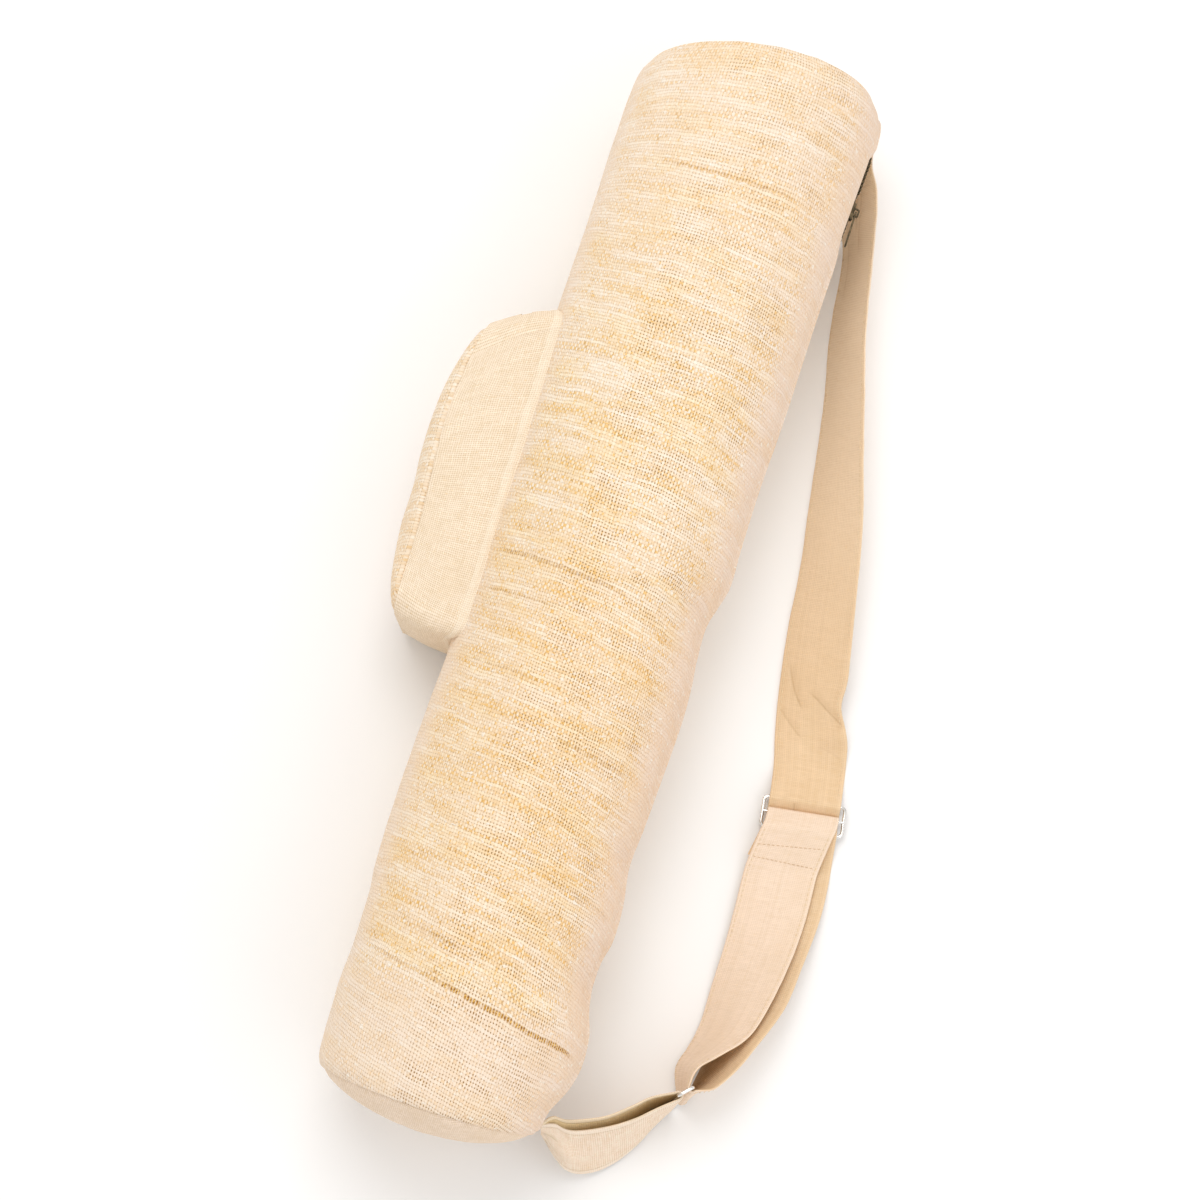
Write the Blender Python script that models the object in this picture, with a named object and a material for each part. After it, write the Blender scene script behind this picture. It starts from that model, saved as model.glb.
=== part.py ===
"""Yoga mat bag: a long round cloth bag with a box pocket, a zip and a shoulder strap.

Run with: blender --background --python part.py
The bag lies along Y on the plane Z = 0, its top end toward +Y, strap side +X, pocket side -X.
Units are metres.
"""
import math

import bmesh
import bpy
from mathutils import Vector

# Driving sizes
BAG_LENGTH = 0.704
BAG_RADIUS = 0.080
CLOTH = 0.0020
CANVAS = 0.0016
GAP = 0.0003
FLAT_SINK = 0.004
BASE_LEAN = 0.014
TOP_TURN = 0.0095
TOP_LEAN = 0.010
TOP_DOME = 0.011
BASE_DOME = 0.021

# Pocket. POCKET_TOP is its top end along Y, the two angles run from the bag's top line toward +X, the
# insets are how much shorter its panel is than its seam on the bag, and GUSSET_DROP is how steeply the
# gusset's upper side falls away from the bag
POCKET_LENGTH = 0.228
POCKET_TOP = 0.171
POCKET_DEPTH = 0.050
POCKET_BULGE = 0.017
POCKET_UPPER = math.radians(-68.0)
POCKET_LOWER = math.radians(-136.0)
GUSSET_DROP = math.radians(14.0)
GUSSET_PUFF = 0.003
PANEL_FOOT_OUT = 0.0073
PANEL_TOP_INSET = 0.016
PANEL_BASE_INSET = 0.005
MOUTH_WIDTH = 0.008

# Strap and its wire fittings. FITTING_ROOM is how much longer their windows are than the strap is wide
STRAP_WIDTH = 0.048
STRAP_THICK = 0.0016
WIRE_RADIUS = 0.0012
FITTING_ROOM = 0.0066
SLIDER_WINDOW = 0.0074
RING_WINDOW = 0.0087
TAIL_LENGTH = 0.032
SEAM_ANGLE = math.radians(115.0)
TAB_ANGLE = math.radians(99.0)

# Zip. ZIP_ROOM is free on each side of the teeth, TAPE_MARGIN is sewn behind each side of the slot,
# and the three places are shares of BAG_LENGTH
ZIP_ANGLE = math.radians(90.0)
TEETH_WIDTH = 0.0050
TEETH_THICK = 0.0022
ZIP_ROOM = 0.0015
TAPE_MARGIN = 0.010
TAPE_THICK = 0.0008
ZIP_FIRST = -0.468
ZIP_LAST = 0.494
ZIP_SLIDER_PLACE = 0.418
SLIDER_BODY_LENGTH = 0.011
PLATE = 0.0012
ARCH_WIDTH = 0.0016
ARCH_BAR = 0.0012
ARCH_WINDOW_LENGTH = 0.0038
ARCH_WINDOW_HEIGHT = 0.0022
PULL_LENGTH = 0.024
PULL_WIDTH = 0.0060
PULL_THICK = 0.0012

# Facets
ROUND_STEPS = 40
STRAP_STEPS = 4
BAND_STEP = 0.020
WIRE_SIDES = 8
CORNER_STEPS = 4
LONG_STEPS = 7
SHORT_STEPS = 4

# Sizes that follow from the ones above
AXIS_HEIGHT = BAG_RADIUS - FLAT_SINK
SEAT = GAP + STRAP_THICK / 2 + GAP
POCKET_BASE = POCKET_TOP - POCKET_LENGTH
POCKET_ARC = (POCKET_UPPER - POCKET_LOWER) * BAG_RADIUS
MOUTH_HALF = MOUTH_WIDTH / POCKET_DEPTH / 2
POCKET_DEPTHS = (0.0, 0.2, 0.5 - MOUTH_HALF, 0.5 + MOUTH_HALF, 0.8, 1.0)
MOUTH_ROW = 2
FITTING_LENGTH = STRAP_WIDTH + FITTING_ROOM + 2 * WIRE_RADIUS
SLIDER_PITCH = SLIDER_WINDOW + 2 * WIRE_RADIUS
SLIDER_HEIGHT = 2 * SLIDER_PITCH + 2 * WIRE_RADIUS
RING_HEIGHT = RING_WINDOW + 4 * WIRE_RADIUS
LAYER = STRAP_THICK + GAP
BAR_BELT = WIRE_RADIUS + GAP + STRAP_THICK / 2
SLIDER_Z = STRAP_THICK / 2 + BAR_BELT + LAYER + GAP
ZIP_SLOT = TEETH_WIDTH + 2 * ZIP_ROOM
TAPE_WIDTH = ZIP_SLOT + 2 * TAPE_MARGIN

# Sections of the bag. along is a share of BAG_LENGTH; left, right and top are shares of BAG_RADIUS
SECTIONS = [
    # along, left, right, top
    (-0.489, 0.940, 0.905, 0.950),
    (-0.481, 0.975, 0.950, 0.982),
    (-0.465, 0.988, 0.985, 0.997),
    (-0.442, 0.995, 1.020, 1.002),
    (-0.415, 1.000, 1.048, 1.005),
    (-0.390, 0.995, 1.030, 1.003),
    (-0.368, 0.990, 0.968, 1.000),
    (-0.346, 0.995, 0.938, 0.998),
    (-0.322, 1.000, 0.945, 0.996),
    (-0.303, 1.020, 0.980, 0.996),
    (-0.268, 1.025, 0.973, 0.995),
    (-0.232, 1.030, 0.926, 0.992),
    (-0.195, 1.028, 0.942, 0.990),
    (-0.150, 1.018, 0.958, 0.990),
    (-0.092, 1.000, 0.973, 0.990),
    (-0.055, 0.995, 0.960, 0.988),
    (-0.028, 0.995, 0.934, 0.986),
    (0.004, 1.000, 0.927, 0.988),
    (0.024, 1.000, 0.968, 0.992),
    (0.045, 1.000, 1.010, 0.998),
    (0.080, 1.000, 1.002, 1.000),
    (0.140, 1.010, 0.998, 1.000),
    (0.215, 1.018, 1.015, 1.000),
    (0.310, 1.018, 1.018, 1.000),
    (0.380, 1.018, 1.030, 1.000),
    (0.450, 1.020, 1.050, 1.000),
    (0.480, 1.015, 1.055, 0.995),
    (0.500, 0.990, 1.025, 0.980),
    (0.511, 0.945, 0.955, 0.940),
]
BASE_RIM = SECTIONS[0][0]
TOP_RIM = SECTIONS[-1][0]

# Soft lengthwise edges that the rolled mat presses out. angle and spread in degrees from the top line,
# rise is a share of BAG_RADIUS, first and last are shares of BAG_LENGTH
SOFT_EDGES = [
    # angle, spread, rise, first, last
    (-17.0, 9.0, 0.016, -0.33, 0.42),
    (-42.0, 14.0, -0.012, -0.33, 0.42),
    (29.0, 9.0, 0.010, -0.05, 0.42),
    (8.0, 10.0, -0.008, -0.20, 0.42),
]

# Strap from the top rim to the slider, by its lower edge. along is a share of BAG_LENGTH, out a share
# of BAG_RADIUS, lift a share of STRAP_WIDTH; lean is from the floor and facing from +X, in degrees
MAIN_ROUTE = [
    # along, out, lift, lean, facing
    (0.4144, 1.101, 0.00, 65.0, -22.0),
    (0.3356, 1.203, 0.00, 61.0, -15.0),
    (0.2782, 1.316, 0.00, 58.0, -11.0),
    (0.2202, 1.406, 0.00, 52.0, -6.0),
    (0.1620, 1.486, 0.00, 43.0, 0.0),
    (0.1041, 1.568, 0.00, 38.0, 2.0),
    (0.0456, 1.624, 0.00, 29.0, 4.0),
    (-0.0117, 1.704, 0.00, 20.0, 7.0),
    (-0.0560, 1.790, 0.00, 5.0, 9.0),
]

# Sewn end of the strap on the bag's wall. off is a share of STRAP_WIDTH away from the wall, bow a
# share of the wall's own curve
SEAM_ROWS = [
    # along, off, bow
    (0.508, 0.000, 1.0),
    (0.500, 0.000, 1.0),
    (0.490, 0.000, 1.0),
    (0.480, 0.010, 1.0),
    (0.468, 0.060, 0.9),
    (0.450, 0.250, 0.5),
]

BACK_ROUTE = [
    # along, out, lift, lean, facing
    (-0.1920, 1.997, 0.00, 3.0, 9.0),
    (-0.2181, 2.010, 0.00, 8.0, 7.0),
    (-0.2605, 2.006, 0.00, 20.0, 2.0),
    (-0.2980, 2.021, 0.00, 32.0, -4.0),
    (-0.3323, 2.033, 0.00, 51.0, -20.0),
    (-0.3552, 2.056, 0.01, 62.0, -32.0),
    (-0.3849, 2.019, 0.03, 73.0, -36.0),
]

FRONT_ROUTE = [
    # along, out, lift, lean, facing
    (-0.3835, 1.835, 0.03, 76.0, 0.0),
    (-0.3620, 1.878, 0.01, 65.0, -5.0),
    (-0.3411, 1.914, 0.01, 49.0, 2.0),
    (-0.3021, 1.911, 0.02, 33.0, 5.0),
    (-0.2627, 1.911, 0.05, 22.0, 6.0),
    (-0.2240, 1.897, 0.06, 9.0, 8.0),
    (-0.1853, 1.876, 0.07, 3.0, 9.0),
]

# Where the wire fittings lie: out from the bag's middle as shares of BAG_RADIUS, along it as shares of
# BAG_LENGTH, turns in degrees. FRONT_SHIFT is the front leg's step to the side, a share of STRAP_WIDTH
SLIDER_OUT = 2.209
SLIDER_ALONG = -0.1208
SLIDER_TURN = 9.0
FRONT_SHIFT = 0.18
RING_OUT = 1.909
RING_ALONG = -0.4174
RING_TURN = 47.0
RING_LEAN_OUT = 0.05
RING_LEAN_ALONG = 0.13

# Tab between the base rim and the ring. along and the two sides are shares of the span between them,
# the two heights are shares of STRAP_WIDTH, parting is the share of the span between its two layers
TAB_SECTIONS = [
    # along, side_high, height_high, side_low, height_low, parting
    (0.02, 0.020, 1.56, 0.050, 1.15, 0.026),
    (0.10, 0.050, 1.33, 0.220, 0.62, 0.060),
    (0.22, 0.100, 1.10, 0.360, 0.14, 0.080),
    (0.36, 0.130, 0.95, 0.390, 0.05, 0.080),
    (0.52, 0.140, 0.94, 0.350, 0.04, 0.075),
    (0.70, 0.100, 0.98, 0.250, 0.04, 0.095),
    (0.84, 0.050, 1.02, 0.140, 0.04, 0.095),
]

CREAM = (0.78, 0.62, 0.41)
LIGHT_CANVAS = (0.86, 0.72, 0.52)
TAN = (0.68, 0.50, 0.31)
STEEL = (0.62, 0.60, 0.56)
DARK_METAL = (0.16, 0.14, 0.11)


def clear_scene():
    for item in list(bpy.data.objects):
        bpy.data.objects.remove(item, do_unlink=True)


def make_material(name, colour, roughness, metallic=0.0):
    material = bpy.data.materials.new(name)
    material.use_nodes = True
    shader = material.node_tree.nodes["Principled BSDF"]
    shader.inputs["Base Color"].default_value = (*colour, 1.0)
    shader.inputs["Roughness"].default_value = roughness
    shader.inputs["Metallic"].default_value = metallic
    return material


def mesh_object(name, points, faces, material, sharp_angle=50.0):
    """A new object whose mesh holds the points and faces, its normals turned outward."""
    mesh = bpy.data.meshes.new(name)
    work = bmesh.new()
    corners = [work.verts.new(point) for point in points]
    for face in faces:
        work.faces.new([corners[index] for index in face])
    bmesh.ops.recalc_face_normals(work, faces=work.faces)
    work.to_mesh(mesh)
    work.free()
    mesh.shade_smooth()
    mesh.set_sharp_from_angle(angle=math.radians(sharp_angle))
    thing = bpy.data.objects.new(name, mesh)
    bpy.context.collection.objects.link(thing)
    if material:
        mesh.materials.append(material)
    return thing


def lerp(first, last, share):
    return first + (last - first) * share


def ease(share):
    share = min(1.0, max(0.0, share))
    return share * share * (3.0 - 2.0 * share)


def ease_between(value, first, last):
    return ease((value - first) / (last - first))


def section_at(along):
    """Left, right and top shares of the radius at a share of the length."""
    for lower, upper in zip(SECTIONS, SECTIONS[1:]):
        if along <= upper[0]:
            break
    share = (along - lower[0]) / (upper[0] - lower[0])
    share = min(1.0, max(0.0, share))
    return [lerp(lower[column], upper[column], share) for column in (1, 2, 3)]


def soft_edge_rise(angle, along):
    rise = 0.0
    degrees = math.degrees(math.remainder(angle, math.tau))
    for edge_angle, spread, height, first, last in SOFT_EDGES:
        fade = ease_between(along, first - 0.08, first) * (1.0 - ease_between(along, last, last + 0.05))
        rise += height * fade * math.exp(-((degrees - edge_angle) / spread) ** 2)
    return rise


def on_floor(height):
    """A height pressed flat where it would pass below the floor, with a short soft bend."""
    bend = FLAT_SINK / 2
    if height <= 0.0:
        return 0.0
    if height >= 2 * bend:
        return height
    return height * height / (4 * bend) + 0.5 * height * (1.0 - (1.0 - height / (2 * bend)) ** 2)


def tube_point(angle, along, inset=0.0):
    """A point of the bag's wall. angle runs from the top line toward +X, inset goes inward."""
    left, right, top = section_at(along)
    radius = BAG_RADIUS * (1.0 + soft_edge_rise(angle, along)) - inset
    x = radius * math.sin(angle) * (right if math.sin(angle) > 0.0 else left)
    z = AXIS_HEIGHT + radius * math.cos(angle) * (top if math.cos(angle) > 0.0 else 1.0)
    z = inset + on_floor(z - inset)
    base = ease_between(-along, 0.30, 0.50)
    end = ease_between(along, 0.30, 0.50)
    y = BAG_LENGTH * along
    y -= base * BASE_LEAN * (z - AXIS_HEIGHT) / BAG_RADIUS
    y += end * (TOP_TURN * x + TOP_LEAN * (z - AXIS_HEIGHT)) / BAG_RADIUS
    return Vector((x, y, z))


def thick_sheet(name, outer, inner, material, closed=False, holes=(), centre=None):
    """A closed wall between two grids of points. closed joins each row's ends, holes are left open
    cells, and centre is a pair of points that closes the last row."""
    rows = len(outer)
    count = len(outer[0])
    points = [point for row in outer for point in row] + [point for row in inner for point in row]
    shift = rows * count
    columns = count if closed else count - 1
    cells = []
    for row in range(rows - 1):
        for column in range(columns):
            if (row, column) in holes:
                continue
            after = (column + 1) % count
            cells.append((row * count + column, row * count + after,
                          (row + 1) * count + after, (row + 1) * count + column))
    if centre:
        for column in range(columns):
            cells.append(((rows - 1) * count + column, (rows - 1) * count + (column + 1) % count, -1))
        points += [centre[0], centre[1]]
    far = len(points) - 2
    faces = []
    used = {}
    for cell in cells:
        faces.append([far if index == -1 else index for index in cell])
        faces.append([far + 1 if index == -1 else index + shift for index in reversed(cell)])
        for start, stop in zip(cell, cell[1:] + cell[:1]):
            key = (min(start, stop), max(start, stop))
            used[key] = used.get(key, 0) + 1
    for (start, stop), times in used.items():
        if times == 1 and start != -1:
            faces.append([start, stop, stop + shift, start + shift])
    return mesh_object(name, points, faces, material)


def grid_normals(rows, closed):
    """The normal at each point of a grid, from its neighbours."""
    normals = []
    last_row = len(rows) - 1
    count = len(rows[0])
    for row, points in enumerate(rows):
        line = []
        for column in range(count):
            before = (column - 1) % count if closed else max(0, column - 1)
            after = (column + 1) % count if closed else min(count - 1, column + 1)
            across = points[after] - points[before]
            down = rows[min(last_row, row + 1)][column] - rows[max(0, row - 1)][column]
            line.append(across.cross(down).normalized())
        normals.append(line)
    return normals


def offset_rows(rows, distance, closed):
    normals = grid_normals(rows, closed)
    return [[point + normal * distance for point, normal in zip(line, line_normals)]
            for line, line_normals in zip(rows, normals)]


def make_tube(material):
    """The bag's long wall, slit lengthwise for the zip."""
    half_slot = ZIP_SLOT / 2 / BAG_RADIUS
    first = ZIP_ANGLE + half_slot
    last = ZIP_ANGLE + math.tau - half_slot
    angles = [lerp(first, last, step / ROUND_STEPS) for step in range(ROUND_STEPS + 1)]
    places = [row[0] for row in SECTIONS]
    outer = [[tube_point(angle, along) for angle in angles] for along in places]
    inner = [[tube_point(angle, along, CLOTH) for angle in angles] for along in places]
    return thick_sheet("body_tube", outer, inner, material)


def make_end(name, side, dome, material):
    """A round end piece, butted on the tube's rim. side is +1 at the top and -1 at the base."""
    angles = [math.tau * step / ROUND_STEPS for step in range(ROUND_STEPS)]
    out = Vector((0.0, side, 0.0))
    edge = TOP_RIM if side > 0 else BASE_RIM
    rim = [tube_point(angle, edge, GAP) for angle in angles]
    centre = sum(rim, Vector()) / len(rim)
    outer = []
    inner = []
    for share in (1.0, 0.93, 0.78, 0.55, 0.30):
        rise = dome * (1.0 - share ** 2) ** 0.75
        flat = [centre.lerp(point, share) for point in rim]
        inner.append([point + out * (GAP + rise) for point in flat])
        outer.append([point + out * (GAP + rise + CANVAS) for point in flat])
    top = centre + out * (GAP + dome)
    return thick_sheet(name, outer, inner, material, closed=True, centre=(top + out * CANVAS, top))


def rounded_rectangle(low, high, width, radii):
    """Points (along, across) round a rectangle whose corners have the given radii, in the order
    high and near, high and far, low and far, low and near."""
    corners = [
        (high - radii[0], radii[0], 270.0, radii[0]),
        (high - radii[1], width - radii[1], 0.0, radii[1]),
        (low + radii[2], width - radii[2], 90.0, radii[2]),
        (low + radii[3], radii[3], 180.0, radii[3]),
    ]
    points = []
    for index, (along, across, start, radius) in enumerate(corners):
        for step in range(CORNER_STEPS + 1):
            turn = math.radians(start + 90.0 * step / CORNER_STEPS)
            points.append((along + radius * math.cos(turn), across + radius * math.sin(turn)))
        following = corners[(index + 1) % 4]
        turn = math.radians(following[2])
        stop = (following[0] + following[3] * math.cos(turn), following[1] + following[3] * math.sin(turn))
        steps = SHORT_STEPS if index % 2 == 0 else LONG_STEPS
        start_point = points[-1]
        for step in range(1, steps):
            points.append((lerp(start_point[0], stop[0], step / steps),
                           lerp(start_point[1], stop[1], step / steps)))
    return points


def pocket_seam_on_tube():
    """The gusset's inner edge, seated on the bag's wall."""
    loop = rounded_rectangle(POCKET_BASE, POCKET_TOP, POCKET_ARC, (0.014, 0.014, 0.010, 0.010))
    points = []
    for along, across in loop:
        angle = POCKET_UPPER - across / BAG_RADIUS
        points.append(tube_point(angle, along / BAG_LENGTH, -2 * GAP))
    return points


def pocket_panel_frame():
    """Upper and lower corner of the panel in the XZ plane, and its outward direction."""
    seam = tube_point(POCKET_UPPER, 0.0)
    fall = POCKET_DEPTH * Vector((math.cos(GUSSET_DROP), 0.0, math.sin(GUSSET_DROP)))
    upper = Vector((seam.x, 0.0, seam.z)) - fall
    foot = tube_point(POCKET_LOWER, 0.0)
    lower = Vector((foot.x - POCKET_DEPTH - PANEL_FOOT_OUT, 0.0, 0.0))
    down = lower - upper
    out = Vector((0.0, 1.0, 0.0)).cross(down).normalized()
    if out.x > 0.0:
        out = -out
    return upper, lower, out


def pocket_seam_on_panel():
    upper, lower, _ = pocket_panel_frame()
    width = (lower - upper).length
    low = POCKET_BASE + PANEL_BASE_INSET
    high = POCKET_TOP - PANEL_TOP_INSET
    loop = rounded_rectangle(low, high, width, (0.030, 0.026, 0.014, 0.016))
    return [upper.lerp(lower, across / width) + Vector((0.0, along, 0.0)) for along, across in loop]


def above_floor(point, least):
    return Vector((point.x, point.y, max(point.z, least)))


def clear_of_tube(point, clearance):
    """The point, moved out where it would lie nearer to the bag's wall than the clearance."""
    angle = math.atan2(point.x, point.z - AXIS_HEIGHT)
    wall = tube_point(angle, point.y / BAG_LENGTH, -clearance)
    reach = math.hypot(point.x, point.z - AXIS_HEIGHT)
    wanted = math.hypot(wall.x, wall.z - AXIS_HEIGHT)
    if reach >= wanted:
        return point
    return Vector((wall.x, point.y, wall.z))


def make_pocket_gusset(material):
    start = pocket_seam_on_tube()
    stop = pocket_seam_on_panel()
    middle = sum(start + stop, Vector()) / (len(start) + len(stop))
    rows = []
    for depth in POCKET_DEPTHS:
        puff = GUSSET_PUFF * math.sin(math.pi * depth)
        line = []
        for inner_point, outer_point in zip(start, stop):
            point = inner_point.lerp(outer_point, depth)
            away = point - middle
            away.x = 0.0
            line.append(above_floor(point + away.normalized() * puff, 0.0))
        rows.append(line)
    inside = offset_rows(rows, CANVAS, closed=True)
    if (inside[3][0] - middle).length > (rows[3][0] - middle).length:
        inside = offset_rows(rows, -CANVAS, closed=True)
    inside = [[above_floor(point, CANVAS) for point in line] for line in inside]
    inside[0] = [clear_of_tube(point, 2 * GAP) for point in inside[0]]
    mouth = [(MOUTH_ROW, column) for column in range(CORNER_STEPS - 1, CORNER_STEPS + SHORT_STEPS + 1)]
    return thick_sheet("pocket_gusset", rows, inside, material, closed=True, holes=mouth)


def make_pocket_panel(material):
    rim = pocket_seam_on_panel()
    _, _, out = pocket_panel_frame()
    centre = sum(rim, Vector()) / len(rim)
    outer = []
    inner = []
    for share in (1.0, 0.94, 0.82, 0.64, 0.42, 0.20):
        rise = POCKET_BULGE * (1.0 - share ** 2) ** 0.6
        flat = [centre.lerp(point, share) for point in rim]
        inner.append([above_floor(point + out * (GAP + rise), CLOTH) for point in flat])
        outer.append([above_floor(point + out * (GAP + rise + CLOTH), 0.0) for point in flat])
    top = centre + out * (GAP + POCKET_BULGE)
    return thick_sheet("pocket_panel", outer, inner, material, closed=True,
                       centre=(top + out * CLOTH, top))


def belt(stops, arc_step=26.0):
    """Points of a flat path pulled round circles. Each stop is (x, y, radius, side); side is +1 where
    the circle lies to the right of the path and -1 where it lies to the left."""
    headings = []
    for first, second in zip(stops, stops[1:]):
        dx = second[0] - first[0]
        dy = second[1] - first[1]
        reach = (first[3] * first[2] - second[3] * second[2]) / math.hypot(dx, dy)
        headings.append(math.atan2(dy, dx) - math.asin(reach))
    points = [touch(stops[0], headings[0])]
    heading = headings[0]
    for stop, following in zip(stops[1:-1], headings[1:]):
        turn = math.remainder(following - heading, math.tau)
        if stop[3] < 0 and turn < -0.5:
            turn += math.tau
        if stop[3] > 0 and turn > 0.5:
            turn -= math.tau
        steps = max(1, round(abs(math.degrees(turn)) / arc_step))
        for step in range(steps + 1):
            points.append(touch(stop, heading + turn * step / steps))
        heading = heading + turn
    points.append(touch(stops[-1], heading))
    return points


def touch(stop, heading):
    x, y, radius, side = stop
    return (x - side * radius * math.sin(heading), y + side * radius * math.cos(heading))


def station(low, high, cup=0.0):
    """One line across a band: its lower and upper edge and how far its middle bows out."""
    return (*low, *high, cup)


def route_station(row):
    along, out, lift, lean, facing = row
    low = Vector((out * BAG_RADIUS, along * BAG_LENGTH, lift * STRAP_WIDTH + STRAP_THICK / 2))
    lean = math.radians(lean)
    facing = math.radians(facing)
    reach = Vector((math.cos(lean) * math.cos(facing), math.cos(lean) * math.sin(facing), math.sin(lean)))
    return station(low, low + reach * STRAP_WIDTH)


def between(before, first, second, after, share):
    """A point of a smooth curve from first to second, with knots set by the distances."""
    def spread(a, b):
        return max(1e-6, math.dist(a, b)) ** 0.5

    t0 = 0.0
    t1 = t0 + spread(before, first)
    t2 = t1 + spread(first, second)
    t3 = t2 + spread(second, after)
    t = lerp(t1, t2, share)
    result = []
    for p0, p1, p2, p3 in zip(before, first, second, after):
        a1 = (t1 - t) / (t1 - t0) * p0 + (t - t0) / (t1 - t0) * p1
        a2 = (t2 - t) / (t2 - t1) * p1 + (t - t1) / (t2 - t1) * p2
        a3 = (t3 - t) / (t3 - t2) * p2 + (t - t2) / (t3 - t2) * p3
        b1 = (t2 - t) / (t2 - t0) * a1 + (t - t0) / (t2 - t0) * a2
        b2 = (t3 - t) / (t3 - t1) * a2 + (t - t1) / (t3 - t1) * a3
        result.append((t2 - t) / (t2 - t1) * b1 + (t - t1) / (t2 - t1) * b2)
    return tuple(result)


def fill_stations(stations, longest):
    """The stations with more of them wherever two lie further apart than longest."""
    filled = [stations[0]]
    for index in range(len(stations) - 1):
        first = stations[index]
        second = stations[index + 1]
        before = stations[index - 1] if index else tuple(2 * a - b for a, b in zip(first, second))
        if index + 2 < len(stations):
            after = stations[index + 2]
        else:
            after = tuple(2 * b - a for a, b in zip(first, second))
        middle_gap = math.dist([(first[k] + first[k + 3]) / 2 for k in range(3)],
                               [(second[k] + second[k + 3]) / 2 for k in range(3)])
        steps = max(1, math.ceil(middle_gap / longest))
        for step in range(1, steps):
            filled.append(between(before, first, second, after, step / steps))
        filled.append(second)
    return filled


def settled(stations):
    """The stations, none of them wider than the strap or below the floor."""
    kept = []
    for row in stations:
        low = Vector(row[0:3])
        high = Vector(row[3:6])
        middle = (low + high) / 2
        half = (high - low).normalized() * min(STRAP_WIDTH, (high - low).length) / 2
        low = middle - half
        high = middle + half
        lift = max(0.0, STRAP_THICK / 2 - min(low.z, high.z))
        low.z += lift
        high.z += lift
        kept.append(station(low, high, row[6]))
    return kept


def make_band(name, stations, material):
    """A woven band of STRAP_THICK through the stations, as one closed body."""
    lines = []
    for row in stations:
        low = Vector(row[0:3])
        high = Vector(row[3:6])
        lines.append((low, high, row[6]))
    outer = []
    inner = []
    for index, (low, high, cup) in enumerate(lines):
        ahead = lines[min(index + 1, len(lines) - 1)]
        behind = lines[max(index - 1, 0)]
        travel = (ahead[0] + ahead[1]) - (behind[0] + behind[1])
        normal = (high - low).cross(travel).normalized()
        outer_line = []
        inner_line = []
        for step in range(STRAP_STEPS + 1):
            share = step / STRAP_STEPS
            point = low.lerp(high, share) + normal * cup * 4.0 * share * (1.0 - share)
            outer_line.append(point + normal * STRAP_THICK / 2)
            inner_line.append(point - normal * STRAP_THICK / 2)
        outer.append(outer_line)
        inner.append(inner_line)
    return thick_sheet(name, outer, inner, material)


def slider_frame():
    """Centre of the slider's middle bar, the direction of its bars and of the strap through it."""
    turn = math.radians(SLIDER_TURN)
    centre = Vector((SLIDER_OUT * BAG_RADIUS, SLIDER_ALONG * BAG_LENGTH, SLIDER_Z))
    bars = Vector((math.cos(turn), math.sin(turn), 0.0))
    run = Vector((math.sin(turn), -math.cos(turn), 0.0))
    return centre, bars, run


def slider_stations(points, shifted):
    """Stations on the slider's own flat path, given as (run, height) points."""
    centre, bars, run = slider_frame()
    half = bars * STRAP_WIDTH / 2
    stations = []
    for distance, height in points:
        shift = -FRONT_SHIFT * STRAP_WIDTH * ease(distance / TAIL_LENGTH) if shifted else 0.0
        middle = Vector((centre.x, centre.y, height)) + run * distance + bars * shift
        stations.append(station(middle - half, middle + half))
    return stations


def ring_frame():
    """Centre of the ring, its long direction, and the direction from the tab's bar to the strap's."""
    long_way = Vector((RING_LEAN_OUT, RING_LEAN_ALONG, 1.0)).normalized()
    turn = math.radians(RING_TURN)
    short_way = Vector((math.cos(turn), math.sin(turn), 0.0))
    short_way = (short_way - long_way * short_way.dot(long_way)).normalized()
    foot = Vector((RING_OUT * BAG_RADIUS, RING_ALONG * BAG_LENGTH, WIRE_RADIUS * 2))
    centre = foot + long_way * (FITTING_LENGTH / 2 - WIRE_RADIUS)
    return centre, long_way, short_way


def ring_bar(side):
    """Middle of one long bar of the ring: side +1 for the strap's, -1 for the tab's."""
    centre, _, short_way = ring_frame()
    return centre + short_way * side * (RING_HEIGHT / 2 - WIRE_RADIUS)


def ring_stations(bar, arriving, leaving, side):
    """Stations of a band that is bent round one bar of the ring."""
    _, long_way, _ = ring_frame()
    points = belt([(arriving.x, arriving.y, 0.0, 1), (bar.x, bar.y, BAR_BELT + GAP / 2, side),
                   (leaving.x, leaving.y, 0.0, 1)])
    half = long_way * STRAP_WIDTH / 2
    stations = []
    for x, y in points[1:-1]:
        middle = Vector((x, y, bar.z))
        stations.append(station(middle - half, middle + half))
    return stations


def middle_of(row):
    return Vector([(row[k] + row[k + 3]) / 2 for k in range(3)])


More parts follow.
